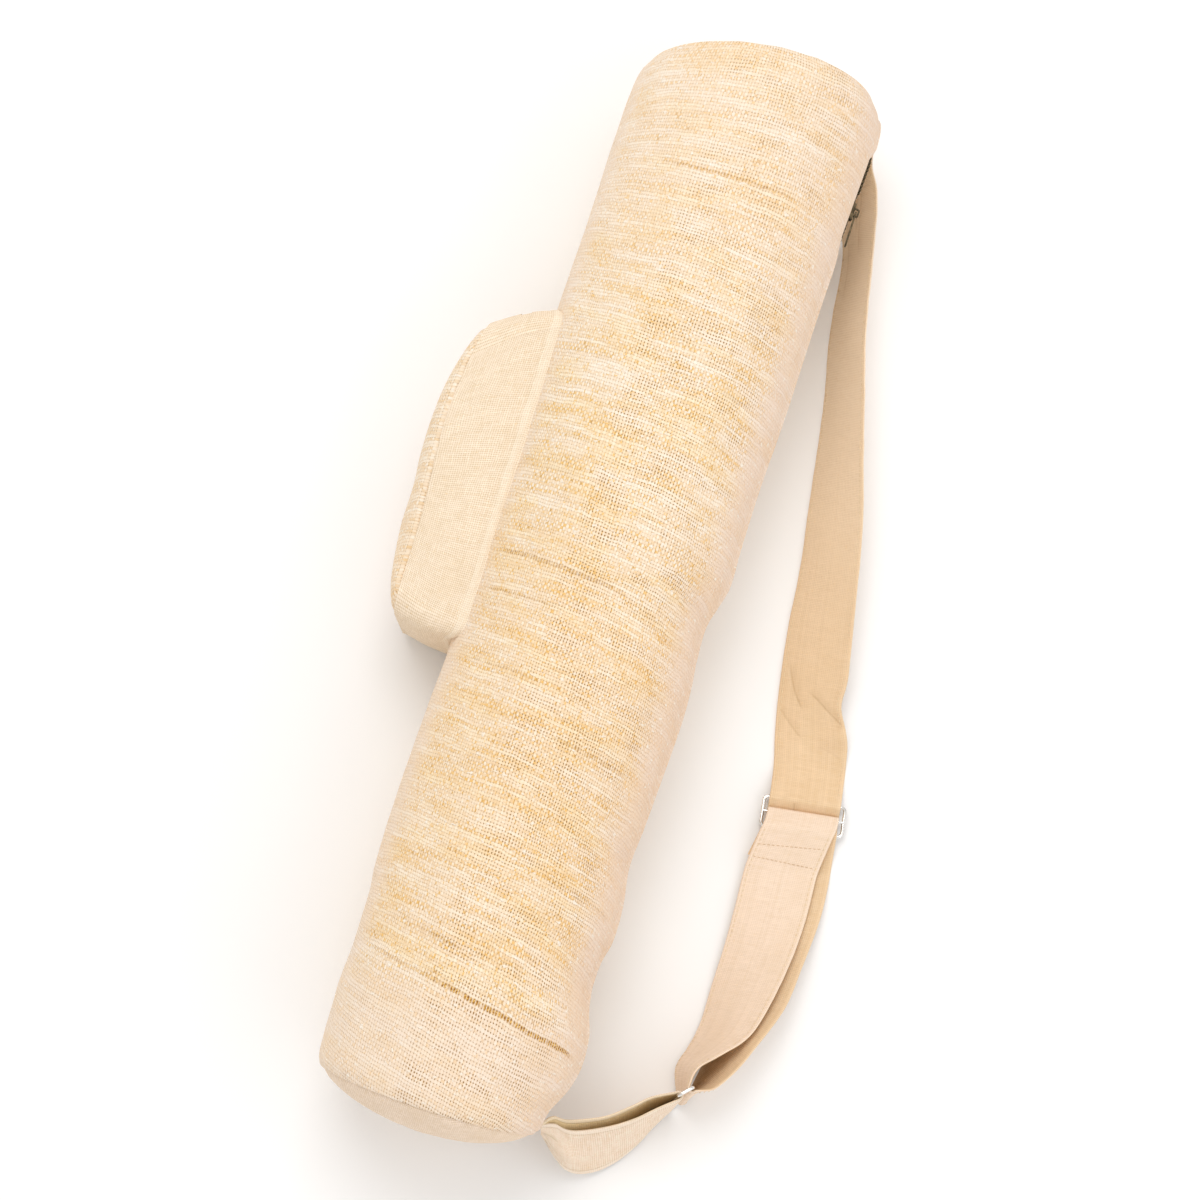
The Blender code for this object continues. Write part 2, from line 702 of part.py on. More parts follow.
def strap_stations():
    """The whole strap, from its seam at the top rim to its own sewn end under the front leg."""
    spread = STRAP_WIDTH / 2 / BAG_RADIUS
    bow = STRAP_WIDTH ** 2 / 8 / BAG_RADIUS
    start = []
    for along, off, share in SEAM_ROWS:
        low = tube_point(SEAM_ANGLE + spread, along, -SEAT - off * STRAP_WIDTH)
        high = tube_point(SEAM_ANGLE - spread, along, -SEAT - off * STRAP_WIDTH)
        start.append(station(low, high, bow * share))
    main = [route_station(row) for row in MAIN_ROUTE]
    floor = STRAP_THICK / 2
    slider = belt([(-TAIL_LENGTH, floor, 0.0, 1),
                   (-SLIDER_PITCH, SLIDER_Z, BAR_BELT, 1),
                   (0.0, SLIDER_Z, BAR_BELT + LAYER, -1),
                   (SLIDER_PITCH, SLIDER_Z, BAR_BELT, 1),
                   (TAIL_LENGTH, floor, 0.0, 1)])
    back = [route_station(row) for row in BACK_ROUTE]
    front = [route_station(row) for row in FRONT_ROUTE]
    ring = ring_stations(ring_bar(1), middle_of(back[-1]), middle_of(front[0]), 1)
    returned = belt([(TAIL_LENGTH * 1.12, floor + 2.4 * LAYER, 0.0, 1),
                     (SLIDER_PITCH, SLIDER_Z, BAR_BELT + 2 * LAYER, -1),
                     (0.0, SLIDER_Z, BAR_BELT, -1),
                     (SLIDER_PITCH, SLIDER_Z, BAR_BELT + LAYER, 1),
                     (TAIL_LENGTH * 0.95, floor + 1.25 * LAYER, 0.0, 1)])
    return (start + main + slider_stations(slider, False) + back + ring + front
            + slider_stations(returned, True))


def tab_stations():
    """The doubled tab: out from the base rim, round the ring's bar and back."""
    neck = tube_point(TAB_ANGLE, BASE_RIM + 0.007)
    neck = neck + Vector((4 * GAP, 0.0, 0.0))
    bar = ring_bar(-1)
    span = Vector((bar.x - neck.x, bar.y - neck.y, 0.0))
    side = Vector((span.y, -span.x, 0.0))
    foot = Vector((neck.x, neck.y, 0.0))
    outer = []
    inner = []
    for along, side_high, height_high, side_low, height_low, parting in TAB_SECTIONS:
        high = foot + span * along + side * side_high + Vector((0, 0, height_high * STRAP_WIDTH))
        low = foot + span * along + side * side_low + Vector((0, 0, height_low * STRAP_WIDTH))
        outer.append(station(low, high))
        inner.append(station(low - side * parting * 0.7, high - side * parting))
    ring = ring_stations(bar, middle_of(outer[-1]), middle_of(inner[-1]), -1)
    return outer + ring + inner[::-1]


def wire(path, closed, normal, radius):
    """Points and faces of a round wire along a flat path."""
    points = []
    faces = []
    count = len(path)
    for index, place in enumerate(path):
        ahead = path[(index + 1) % count] if closed or index + 1 < count else place
        behind = path[index - 1] if closed or index else place
        side = (ahead - behind).normalized().cross(normal)
        for step in range(WIRE_SIDES):
            turn = math.tau * step / WIRE_SIDES
            points.append(place + side * radius * math.cos(turn) + normal * radius * math.sin(turn))
    for index in range(count if closed else count - 1):
        for step in range(WIRE_SIDES):
            after = (step + 1) % WIRE_SIDES
            following = (index + 1) % count
            faces.append([index * WIRE_SIDES + step, index * WIRE_SIDES + after,
                          following * WIRE_SIDES + after, following * WIRE_SIDES + step])
    if not closed:
        faces.append(list(range(WIRE_SIDES)))
        faces.append([(count - 1) * WIRE_SIDES + step for step in range(WIRE_SIDES)])
    return points, faces


def wire_frame_path(centre, long_way, short_way, length, height):
    """A rectangle with rounded corners, by the middle of its wire."""
    bend = WIRE_RADIUS * 2.2
    path = []
    half_long = length / 2 - WIRE_RADIUS - bend
    half_short = height / 2 - WIRE_RADIUS - bend
    for start, sign_long, sign_short in ((0, 1, 1), (90, -1, 1), (180, -1, -1), (270, 1, -1)):
        for step in range(4):
            turn = math.radians(start + 30.0 * step)
            path.append(centre + long_way * (sign_long * half_long + bend * math.cos(turn))
                        + short_way * (sign_short * half_short + bend * math.sin(turn)))
    return path


def make_strap_ring(material):
    centre, long_way, short_way = ring_frame()
    path = wire_frame_path(centre, long_way, short_way, FITTING_LENGTH, RING_HEIGHT)
    points, faces = wire(path, True, long_way.cross(short_way), WIRE_RADIUS)
    return mesh_object("strap_ring", points, faces, material)


def make_strap_slider(material):
    centre, bars, run = slider_frame()
    up = Vector((0.0, 0.0, 1.0))
    path = wire_frame_path(centre, bars, run, FITTING_LENGTH, SLIDER_HEIGHT)
    points, faces = wire(path, True, up, WIRE_RADIUS)
    frame = mesh_object("strap_slider", points, faces, material)
    reach = bars * (FITTING_LENGTH / 2 - WIRE_RADIUS)
    points, faces = wire([centre - reach, centre + reach], False, up, WIRE_RADIUS)
    bar = mesh_object("slider_middle_bar", points, faces, None)
    join_with(frame, bar)
    return frame


def join_with(thing, other):
    """A Boolean union with a piece that is not kept by itself."""
    other.hide_render = True
    other.display_type = "WIRE"
    union = thing.modifiers.new("join", "BOOLEAN")
    union.operation = "UNION"
    union.solver = "EXACT"
    union.object = other


def zip_strip(name, width, top, bottom, steps, material):
    """A lengthwise strip under or in the zip slot, between two depths below the outer wall."""
    half = width / 2 / BAG_RADIUS
    angles = [ZIP_ANGLE + lerp(-half, half, step / steps) for step in range(steps + 1)]
    places = [row[0] for row in SECTIONS if ZIP_FIRST + 0.01 < row[0] < ZIP_LAST - 0.01]
    places = [ZIP_FIRST, *places, ZIP_LAST]
    outer = [[tube_point(angle, along, top) for angle in angles] for along in places]
    inner = [[tube_point(angle, along, bottom) for angle in angles] for along in places]
    return thick_sheet(name, outer, inner, material)


def prism(outline, depth_axis, low, high):
    """A solid from a flat outline, drawn out along one axis between low and high."""
    count = len(outline)
    points = []
    for depth in (low, high):
        for first, second in outline:
            place = [first, second]
            place.insert(depth_axis, depth)
            points.append(place)
    faces = [list(range(count)), [count + index for index in range(count)]]
    for index in range(count):
        after = (index + 1) % count
        faces.append([index, after, count + after, count + index])
    return points, faces


def pull_axis():
    """Where the pull turns: inside the arch on the slider, parallel to Z."""
    seat = tube_point(ZIP_ANGLE, ZIP_SLIDER_PLACE)
    teeth_top = seat.x + TEETH_THICK - CLOTH
    return Vector((teeth_top + GAP + PLATE + ARCH_WINDOW_HEIGHT / 2, seat.y, seat.z))


def make_zip_slider(material):
    """A channel over the teeth with the arch that holds the pull."""
    hub = pull_axis()
    plate_top = hub.x - ARCH_WINDOW_HEIGHT / 2
    plate_low = plate_top - PLATE
    inside = TEETH_WIDTH / 2 + GAP
    outside = ZIP_SLOT / 2 - GAP
    foot = plate_low - GAP - TEETH_THICK * 0.8
    outline = [(plate_top, outside), (plate_top, -outside), (foot, -outside), (foot, -inside),
               (plate_low, -inside), (plate_low, inside), (foot, inside), (foot, outside)]
    outline = [(x, hub.z + z) for x, z in outline]
    half = SLIDER_BODY_LENGTH / 2
    points, faces = prism(outline, 1, hub.y - half, hub.y + half)
    body = mesh_object("zip_slider", points, faces, material)
    long_half = ARCH_WINDOW_LENGTH / 2 + ARCH_BAR
    top = plate_top + ARCH_WINDOW_HEIGHT + ARCH_BAR
    low = plate_top - PLATE / 2
    bevel = ARCH_BAR * 0.8
    arch = [(low, -long_half), (top - bevel, -long_half), (top, bevel - long_half),
            (top, long_half - bevel), (top - bevel, long_half), (low, long_half),
            (low, long_half - ARCH_BAR), (top - ARCH_BAR, long_half - ARCH_BAR),
            (top - ARCH_BAR, ARCH_BAR - long_half), (low, ARCH_BAR - long_half)]
    arch = [(x, hub.y + y) for x, y in arch]
    points, faces = prism(arch, 2, hub.z - ARCH_WIDTH / 2, hub.z + ARCH_WIDTH / 2)
    join_with(body, mesh_object("zip_slider_arch", points, faces, None))
    return body


def make_zip_pull(material):
    """The pull tab, lying toward the base, with its origin on the axis that it turns about."""
    half = PULL_WIDTH / 2
    thick = PULL_THICK / 2
    eye_half = ARCH_WIDTH / 2 + 2 * GAP
    eye_end = ARCH_WINDOW_LENGTH / 2 + ARCH_BAR + 0.0018
    root = PULL_THICK / 2
    neck = 0.75 * half + 0.25 * eye_half
    tip = PULL_LENGTH - half * 0.6
    outline = [(root, half * 0.85), (root, -half * 0.85), (-eye_end - half, -half * 0.85),
               (-tip * 0.5, -neck), (-tip * 0.85, -half), (-tip, -half), (-PULL_LENGTH, -half * 0.5),
               (-PULL_LENGTH, half * 0.5), (-tip, half), (-tip * 0.85, half), (-tip * 0.5, neck),
               (-eye_end - half, half * 0.85)]
    points, faces = prism(outline, 0, -thick, thick)
    pull = mesh_object("zip_pull", points, faces, material)
    eye = [(-root, eye_half), (-root, -eye_half), (-eye_end, -eye_half), (-eye_end, eye_half)]
    points, faces = prism(eye, 0, -2 * thick, 2 * thick)
    cutter = mesh_object("zip_pull_eye", points, faces, None)
    cutter.hide_render = True
    cutter.display_type = "WIRE"
    pull.location = pull_axis()
    cutter.location = pull_axis()
    cut = pull.modifiers.new("eye", "BOOLEAN")
    cut.operation = "DIFFERENCE"
    cut.solver = "EXACT"
    cut.object = cutter
    return pull


def build():
    clear_scene()
    slub = make_material("slub_cloth", CREAM, 0.9)
    make_tube(slub)
    make_end("top_end", 1, TOP_DOME, make_material("top_canvas", LIGHT_CANVAS, 0.88))
    make_end("base_end", -1, BASE_DOME, make_material("base_canvas", LIGHT_CANVAS, 0.88))
    make_pocket_gusset(make_material("gusset_canvas", LIGHT_CANVAS, 0.86))
    make_pocket_panel(make_material("panel_cloth", CREAM, 0.9))
    strap = settled(fill_stations(strap_stations(), BAND_STEP))
    make_band("strap", strap, make_material("strap_band", TAN, 0.85))
    tab = settled(fill_stations(tab_stations(), BAND_STEP))
    make_band("strap_tab", tab, make_material("tab_band", LIGHT_CANVAS, 0.85))
    make_strap_slider(make_material("slider_steel", STEEL, 0.25, 1.0))
    make_strap_ring(make_material("ring_steel", STEEL, 0.25, 1.0))
    tape_top = CLOTH + GAP
    tape = make_material("tape_cloth", LIGHT_CANVAS, 0.8)
    zip_strip("zip_tape", TAPE_WIDTH, tape_top, tape_top + TAPE_THICK, 4, tape)
    teeth = make_material("teeth_metal", DARK_METAL, 0.4, 0.8)
    zip_strip("zip_teeth", TEETH_WIDTH, CLOTH - TEETH_THICK, CLOTH, 2, teeth)
    make_zip_slider(make_material("zip_slider_metal", DARK_METAL, 0.35, 1.0))
    make_zip_pull(make_material("zip_pull_metal", DARK_METAL, 0.35, 1.0))


build()
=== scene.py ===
"""The looks of the yoga mat bag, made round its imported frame.

The bag lies along Y on the floor, its top end toward +Y, its pocket toward -X and its strap toward +X.
Units are metres.
"""

import math

import bmesh
import bpy
from mathutils import Matrix, Vector, noise


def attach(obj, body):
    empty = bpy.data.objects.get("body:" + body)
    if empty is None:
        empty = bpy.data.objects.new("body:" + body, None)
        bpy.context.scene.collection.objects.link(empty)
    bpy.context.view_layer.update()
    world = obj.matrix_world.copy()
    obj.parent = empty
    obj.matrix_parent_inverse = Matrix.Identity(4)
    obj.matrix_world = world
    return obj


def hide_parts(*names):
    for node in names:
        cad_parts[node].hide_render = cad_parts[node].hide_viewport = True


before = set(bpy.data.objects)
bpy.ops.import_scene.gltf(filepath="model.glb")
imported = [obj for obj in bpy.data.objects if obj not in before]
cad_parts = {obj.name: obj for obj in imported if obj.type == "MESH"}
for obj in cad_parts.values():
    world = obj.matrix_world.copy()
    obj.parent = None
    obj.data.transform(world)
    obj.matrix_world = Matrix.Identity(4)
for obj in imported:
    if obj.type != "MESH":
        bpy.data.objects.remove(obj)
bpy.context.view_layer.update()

# Sizes, the same as the frame's
BAG_LENGTH = 0.704
BAG_RADIUS = 0.080
CLOTH = 0.0020
CANVAS = 0.0016
GAP = 0.0003
FLAT_SINK = 0.004
BASE_LEAN = 0.014
TOP_TURN = 0.0095
TOP_LEAN = 0.010
TOP_DOME = 0.011
BASE_DOME = 0.021
AXIS_HEIGHT = BAG_RADIUS - FLAT_SINK
BAG_MIDDLE = Vector((0.0, 0.0, AXIS_HEIGHT))

POCKET_LENGTH = 0.228
POCKET_TOP = 0.171
POCKET_BASE = POCKET_TOP - POCKET_LENGTH
POCKET_DEPTH = 0.050
POCKET_BULGE = 0.017
POCKET_UPPER = math.radians(-68.0)
POCKET_LOWER = math.radians(-136.0)
POCKET_ARC = (POCKET_UPPER - POCKET_LOWER) * BAG_RADIUS
GUSSET_DROP = math.radians(14.0)
GUSSET_PUFF = 0.003
PANEL_FOOT_OUT = 0.0073
PANEL_TOP_INSET = 0.016
PANEL_BASE_INSET = 0.005
MOUTH_WIDTH = 0.008
SEAM_STRIP = 0.0062

STRAP_WIDTH = 0.048
STRAP_THICK = 0.0016
WIRE_RADIUS = 0.0012
FITTING_ROOM = 0.0066
SLIDER_WINDOW = 0.0074
RING_WINDOW = 0.0087
TAIL_LENGTH = 0.032
SEAM_ANGLE = math.radians(115.0)
TAB_ANGLE = math.radians(99.0)
SEAT = GAP + STRAP_THICK / 2 + GAP
FITTING_LENGTH = STRAP_WIDTH + FITTING_ROOM + 2 * WIRE_RADIUS
SLIDER_PITCH = SLIDER_WINDOW + 2 * WIRE_RADIUS
SLIDER_HEIGHT = 2 * SLIDER_PITCH + 2 * WIRE_RADIUS
RING_HEIGHT = RING_WINDOW + 4 * WIRE_RADIUS
LAYER = STRAP_THICK + GAP
BAR_BELT = WIRE_RADIUS + GAP + STRAP_THICK / 2
SLIDER_Z = STRAP_THICK / 2 + BAR_BELT + LAYER + GAP

ZIP_ANGLE = math.radians(90.0)
TEETH_WIDTH = 0.0050
TEETH_THICK = 0.0022
ZIP_ROOM = 0.0015
TAPE_MARGIN = 0.010
TAPE_THICK = 0.0008
ZIP_FIRST = -0.468
ZIP_LAST = 0.494
ZIP_SLOT = TEETH_WIDTH + 2 * ZIP_ROOM
TAPE_WIDTH = ZIP_SLOT + 2 * TAPE_MARGIN

# Sections of the bag. along is a share of BAG_LENGTH; left, right and top are shares of BAG_RADIUS
SECTIONS = [
    # along, left, right, top
    (-0.489, 0.940, 0.905, 0.950),
    (-0.481, 0.975, 0.950, 0.982),
    (-0.465, 0.988, 0.985, 0.997),
    (-0.442, 0.995, 1.020, 1.002),
    (-0.415, 1.000, 1.048, 1.005),
    (-0.390, 0.995, 1.030, 1.003),
    (-0.368, 0.990, 0.968, 1.000),
    (-0.346, 0.995, 0.938, 0.998),
    (-0.322, 1.000, 0.945, 0.996),
    (-0.303, 1.020, 0.980, 0.996),
    (-0.268, 1.025, 0.973, 0.995),
    (-0.232, 1.030, 0.926, 0.992),
    (-0.195, 1.028, 0.942, 0.990),
    (-0.150, 1.018, 0.958, 0.990),
    (-0.092, 1.000, 0.973, 0.990),
    (-0.055, 0.995, 0.960, 0.988),
    (-0.028, 0.995, 0.934, 0.986),
    (0.004, 1.000, 0.927, 0.988),
    (0.024, 1.000, 0.968, 0.992),
    (0.045, 1.000, 1.010, 0.998),
    (0.080, 1.000, 1.002, 1.000),
    (0.140, 1.010, 0.998, 1.000),
    (0.215, 1.018, 1.015, 1.000),
    (0.310, 1.018, 1.018, 1.000),
    (0.380, 1.018, 1.030, 1.000),
    (0.450, 1.020, 1.050, 1.000),
    (0.480, 1.015, 1.055, 0.995),
    (0.500, 0.990, 1.025, 0.980),
    (0.511, 0.945, 0.955, 0.940),
]
BASE_RIM = SECTIONS[0][0]
TOP_RIM = SECTIONS[-1][0]

# Soft lengthwise edges that the rolled mat presses out. angle and spread in degrees from the top line,
# rise is a share of BAG_RADIUS, first and last are shares of BAG_LENGTH
SOFT_EDGES = [
    # angle, spread, rise, first, last
    (-17.0, 9.0, 0.016, -0.33, 0.42),
    (-42.0, 14.0, -0.012, -0.33, 0.42),
    (29.0, 9.0, 0.010, -0.05, 0.42),
    (8.0, 10.0, -0.008, -0.20, 0.42),
]

# Soft dents and drag folds of the cloth. angle and reach in degrees, along a share of BAG_LENGTH,
# length and rise in metres, slant in metres along the bag for each radian round it
DENTS = [
    # angle, along, reach, length, rise, slant
    (72.0, -0.458, 12.0, 0.012, -0.0024, 0.020),
    (66.0, -0.440, 7.0, 0.020, 0.0009, 0.030),
    (58.0, -0.462, 9.0, 0.006, -0.0010, 0.015),
    (74.0, -0.352, 24.0, 0.007, -0.0013, -0.012),
    (62.0, -0.330, 20.0, 0.009, 0.0007, -0.020),
    (70.0, -0.236, 22.0, 0.010, -0.0010, -0.018),
    (66.0, 0.006, 22.0, 0.009, -0.0012, -0.020),
    (58.0, 0.036, 24.0, 0.008, 0.0008, -0.020),
    (-52.0, -0.366, 26.0, 0.006, -0.0009, 0.016),
    (-60.0, -0.410, 26.0, 0.005, 0.0006, 0.010),
    (-56.0, 0.262, 12.0, 0.012, -0.0010, 0.020),
    (-61.0, -0.060, 7.0, 0.020, -0.0009, 0.020),
    (-3.0, 0.395, 22.0, 0.005, -0.0008, -0.008),
    (20.0, -0.436, 30.0, 0.006, 0.0005, -0.020),
    (-30.0, -0.452, 24.0, 0.007, -0.0006, 0.012),
]

# Where the tab pulls the bag's side in: angle and reach in degrees, along and length as shares of
# BAG_LENGTH, and the depth in metres
TAB_PINCH = (93.0, 26.0, -0.470, 0.022, 0.0070)

MAIN_ROUTE = [
    # along, out, lift, lean, facing
    (0.4144, 1.101, 0.00, 65.0, -22.0),
    (0.3356, 1.203, 0.00, 61.0, -15.0),
    (0.2782, 1.316, 0.00, 58.0, -11.0),
    (0.2202, 1.406, 0.00, 52.0, -6.0),
    (0.1620, 1.486, 0.00, 43.0, 0.0),
    (0.1041, 1.568, 0.00, 38.0, 2.0),
    (0.0456, 1.624, 0.00, 29.0, 4.0),
    (-0.0117, 1.704, 0.00, 20.0, 7.0),
    (-0.0560, 1.790, 0.00, 5.0, 9.0),
]

SEAM_ROWS = [
    # along, off, bow
    (0.508, 0.000, 1.0),
    (0.500, 0.000, 1.0),
    (0.490, 0.000, 1.0),
    (0.480, 0.010, 1.0),
    (0.468, 0.060, 0.9),
    (0.450, 0.250, 0.5),
]

BACK_ROUTE = [
    # along, out, lift, lean, facing
    (-0.1920, 1.997, 0.00, 3.0, 9.0),
    (-0.2181, 2.010, 0.00, 8.0, 7.0),
    (-0.2605, 2.006, 0.00, 20.0, 2.0),
    (-0.2980, 2.021, 0.00, 32.0, -4.0),
    (-0.3323, 2.033, 0.00, 51.0, -20.0),
    (-0.3552, 2.056, 0.01, 62.0, -32.0),
    (-0.3849, 2.019, 0.03, 73.0, -36.0),
]

FRONT_ROUTE = [
    # along, out, lift, lean, facing
    (-0.3835, 1.835, 0.03, 76.0, 0.0),
    (-0.3620, 1.878, 0.01, 65.0, -5.0),
    (-0.3411, 1.914, 0.01, 49.0, 2.0),
    (-0.3021, 1.911, 0.02, 33.0, 5.0),
    (-0.2627, 1.911, 0.05, 22.0, 6.0),
    (-0.2240, 1.897, 0.06, 9.0, 8.0),
    (-0.1853, 1.876, 0.07, 3.0, 9.0),
]

SLIDER_OUT = 2.209
SLIDER_ALONG = -0.1208
SLIDER_TURN = 9.0
FRONT_SHIFT = 0.18
RING_OUT = 1.909
RING_ALONG = -0.4174
RING_TURN = 47.0
RING_LEAN_OUT = 0.05
RING_LEAN_ALONG = 0.13

TAB_SECTIONS = [
    # along, side_high, height_high, side_low, height_low, parting
    (0.02, 0.005, 1.56, 0.050, 1.15, 0.026),
    (0.10, 0.000, 1.35, 0.235, 0.62, 0.060),
    (0.22, 0.030, 1.12, 0.370, 0.14, 0.080),
    (0.36, 0.065, 0.97, 0.370, 0.05, 0.080),
    (0.52, 0.085, 0.94, 0.325, 0.04, 0.080),
    (0.70, 0.070, 0.98, 0.235, 0.04, 0.095),
    (0.84, 0.040, 1.02, 0.135, 0.04, 0.095),
]

# Camera, lights and floor
CAMERA_DISTANCE = 3.3
CAMERA_HEIGHT_ANGLE = math.radians(80.0)
CAMERA_ROLL = math.radians(18.0)
CAMERA_AIM = Vector((0.0, 0.0, 0.080))
PICTURE_WIDTH = 1200
AIM_PIXEL = (595.0, 596.0)
PIXEL_SIZE = 0.000653
SENSOR = 36.0


def lerp(first, last, share):
    return first + (last - first) * share


def ease(share):
    share = min(1.0, max(0.0, share))
    return share * share * (3.0 - 2.0 * share)


def ease_between(value, first, last):
    return ease((value - first) / (last - first))


def bell(value):
    return math.exp(-value * value)


# The form of the bag

def section_at(along):
    """Left, right and top shares of the radius at a share of the length, on a smooth curve."""
    index = 0
    while index < len(SECTIONS) - 2 and along > SECTIONS[index + 1][0]:
        index += 1
    before = SECTIONS[max(index - 1, 0)]
    first = SECTIONS[index]
    second = SECTIONS[index + 1]
    after = SECTIONS[min(index + 2, len(SECTIONS) - 1)]
    span = second[0] - first[0]
    t = min(1.0, max(0.0, (along - first[0]) / span))
    result = []
    for column in (1, 2, 3):
        slope_first = (second[column] - before[column]) / (second[0] - before[0]) * span
        slope_second = (after[column] - first[column]) / (after[0] - first[0]) * span
        result.append((2 * t ** 3 - 3 * t ** 2 + 1) * first[column] + (t ** 3 - 2 * t ** 2 + t) * slope_first
                      + (3 * t ** 2 - 2 * t ** 3) * second[column] + (t ** 3 - t ** 2) * slope_second)
    return result


def soft_edge_rise(angle, along):
    rise = 0.0
    degrees = math.degrees(math.remainder(angle, math.tau))
    for edge_angle, spread, height, first, last in SOFT_EDGES:
        fade = ease_between(along, first - 0.08, first) * (1.0 - ease_between(along, last, last + 0.05))
        rise += height * fade * bell((degrees - edge_angle) / spread)
    return rise


def tab_pinch(angle, along):
    centre, reach, place, length, depth = TAB_PINCH
    across = math.remainder(angle - math.radians(centre), math.tau) / math.radians(reach)
    return depth * bell(across) * bell((along - place) / length)


def on_floor(height):
    """A height pressed flat where it would pass below the floor, with a short soft bend."""
    bend = FLAT_SINK / 2
    if height <= 0.0:
        return 0.0
    if height >= 2 * bend:
        return height
    return height * height / (4 * bend) + 0.5 * height * (1.0 - (1.0 - height / (2 * bend)) ** 2)


def tube_point(angle, along, inset=0.0):
    """A point of the bag's wall. angle runs from the top line toward +X, inset goes inward."""
    left, right, top = section_at(along)
    radius = BAG_RADIUS * (1.0 + soft_edge_rise(angle, along)) - inset - tab_pinch(angle, along)
    x = radius * math.sin(angle) * (right if math.sin(angle) > 0.0 else left)
    z = AXIS_HEIGHT + radius * math.cos(angle) * (top if math.cos(angle) > 0.0 else 1.0)
    z = max(inset, 0.0) + on_floor(z - max(inset, 0.0))
    base = ease_between(-along, 0.30, 0.50)
    end = ease_between(along, 0.30, 0.50)
    y = BAG_LENGTH * along
    y -= base * BASE_LEAN * (z - AXIS_HEIGHT) / BAG_RADIUS
    y += end * (TOP_TURN * x + TOP_LEAN * (z - AXIS_HEIGHT)) / BAG_RADIUS
    return Vector((x, y, z))


def cloth_rise(angle, along):
    """How far the bag's cloth stands out of its plain form: dents, gathers and slack."""
    turn = math.remainder(angle, math.tau)
    y = along * BAG_LENGTH
    rise = 0.0
    for dent_angle, dent_along, reach, length, height, slant in DENTS:
        offset = turn - math.radians(dent_angle)
        across = offset / math.radians(reach)
        if abs(across) < 3.0:
            run = (y - dent_along * BAG_LENGTH - slant * offset) / length
            if abs(run) < 3.0:
                rise += height * bell(across) * bell(run)
    to_base = y - BASE_RIM * BAG_LENGTH
    to_top = TOP_RIM * BAG_LENGTH - y
    place = Vector((math.sin(turn) * 3.0, math.cos(turn) * 3.0, y * 14.0))
    gather = noise.noise(Vector((math.sin(turn) * 9.0, math.cos(turn) * 9.0, y * 9.0)))
    rise += 0.0009 * gather * (bell(to_base / 0.018) + bell(to_top / 0.018))
    rise += 0.0008 * noise.noise(place)
    rise += 0.0003 * noise.noise(place * 3.3)
    return rise


def seam_roll(distance, depth):
    """How far an edge curls in at a distance from its seam."""
    if distance >= depth:
        return 0.0
    away = 1.0 - max(0.0, distance) / depth
    return depth * (1.0 - math.sqrt(1.0 - away * away))


# Tools for making pieces

MERGE = 0.00001
METAL_ANGLE = 40.0


def select_only(piece):
    if bpy.context.object and bpy.context.object.mode != "OBJECT":
        bpy.ops.object.mode_set(mode="OBJECT")
    bpy.ops.object.select_all(action="DESELECT")
    piece.select_set(True)
    bpy.context.view_layer.objects.active = piece


def grid_cloth(name, columns, rows, place, lay):
    """A sheet of columns by rows points, each put in place, with a UV map in metres from lay."""
    bpy.ops.object.select_all(action="DESELECT")
    bpy.ops.mesh.primitive_grid_add(x_subdivisions=columns - 1, y_subdivisions=rows - 1, size=1.0)
    piece = bpy.context.object
    piece.name = name
    piece.data.name = name
    mesh = piece.data
    spots = []
    for vertex in mesh.vertices:
        column = round((vertex.co.x + 0.5) * (columns - 1))
        row = round((vertex.co.y + 0.5) * (rows - 1))
        spots.append((column, row))
    points = [coordinate for column, row in spots for coordinate in place(column, row)]
    mesh.vertices.foreach_set("co", points)
    flat = []
    for loop in mesh.loops:
        column, row = spots[loop.vertex_index]
        flat.extend(lay(column, row))
    mesh.uv_layers.active.data.foreach_set("uv", flat)
    mesh.update()
    return piece


def edit_all(piece, *steps):
    """Runs mesh operators, each given with its settings, on all of a piece."""
    select_only(piece)
    bpy.ops.object.mode_set(mode="EDIT")
    for operator, settings in steps:
        bpy.ops.mesh.select_all(action="SELECT")
        operator(**settings)
    bpy.ops.object.mode_set(mode="OBJECT")


def close_up(piece, fill=False):
    """Joins a piece's meeting edges, and closes its open ends if asked."""
    steps = [(bpy.ops.mesh.remove_doubles, {"threshold": MERGE})]
    if fill:
        steps.append((bpy.ops.mesh.fill_holes, {"sides": 0}))
    edit_all(piece, *steps, (bpy.ops.mesh.normals_make_consistent, {"inside": False}))


def face_away(piece, inner_point):
    """Turns an open sheet's normals away from a point inside it."""
    total = 0.0
    for polygon in piece.data.polygons:
        total += polygon.area * polygon.normal.dot(polygon.center - inner_point)
    if total < 0.0:
        edit_all(piece, (bpy.ops.mesh.flip_normals, {}))


def apply_modifier(piece, kind, **settings):
    select_only(piece)
    modifier = piece.modifiers.new(kind.lower(), kind)
    for key, value in settings.items():
        setattr(modifier, key, value)
    bpy.ops.object.modifier_apply(modifier=modifier.name)


def smooth(piece, degrees=50.0):
    select_only(piece)
    bpy.ops.object.shade_smooth_by_angle(angle=math.radians(degrees))


def dress(piece, material, body, slot, *nodes):
    """Gives a finished piece its material and its place in the frame."""
    piece.data.materials.clear()
    piece.data.materials.append(material)
    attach(piece, body)
    if nodes:
        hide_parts(*nodes)


def finish_sheet(piece, inside, wall, material, slot, node):
    """Faces a sheet away from a point inside it, gives it its wall inward and dresses it."""
    face_away(piece, inside)
    apply_modifier(piece, "SOLIDIFY", thickness=wall, offset=-1.0)
    smooth(piece)
    dress(piece, material, "bag", slot, node)


def add_object(name, data):
    made = bpy.data.objects.new(name, data)
    bpy.context.scene.collection.objects.link(made)
    return made


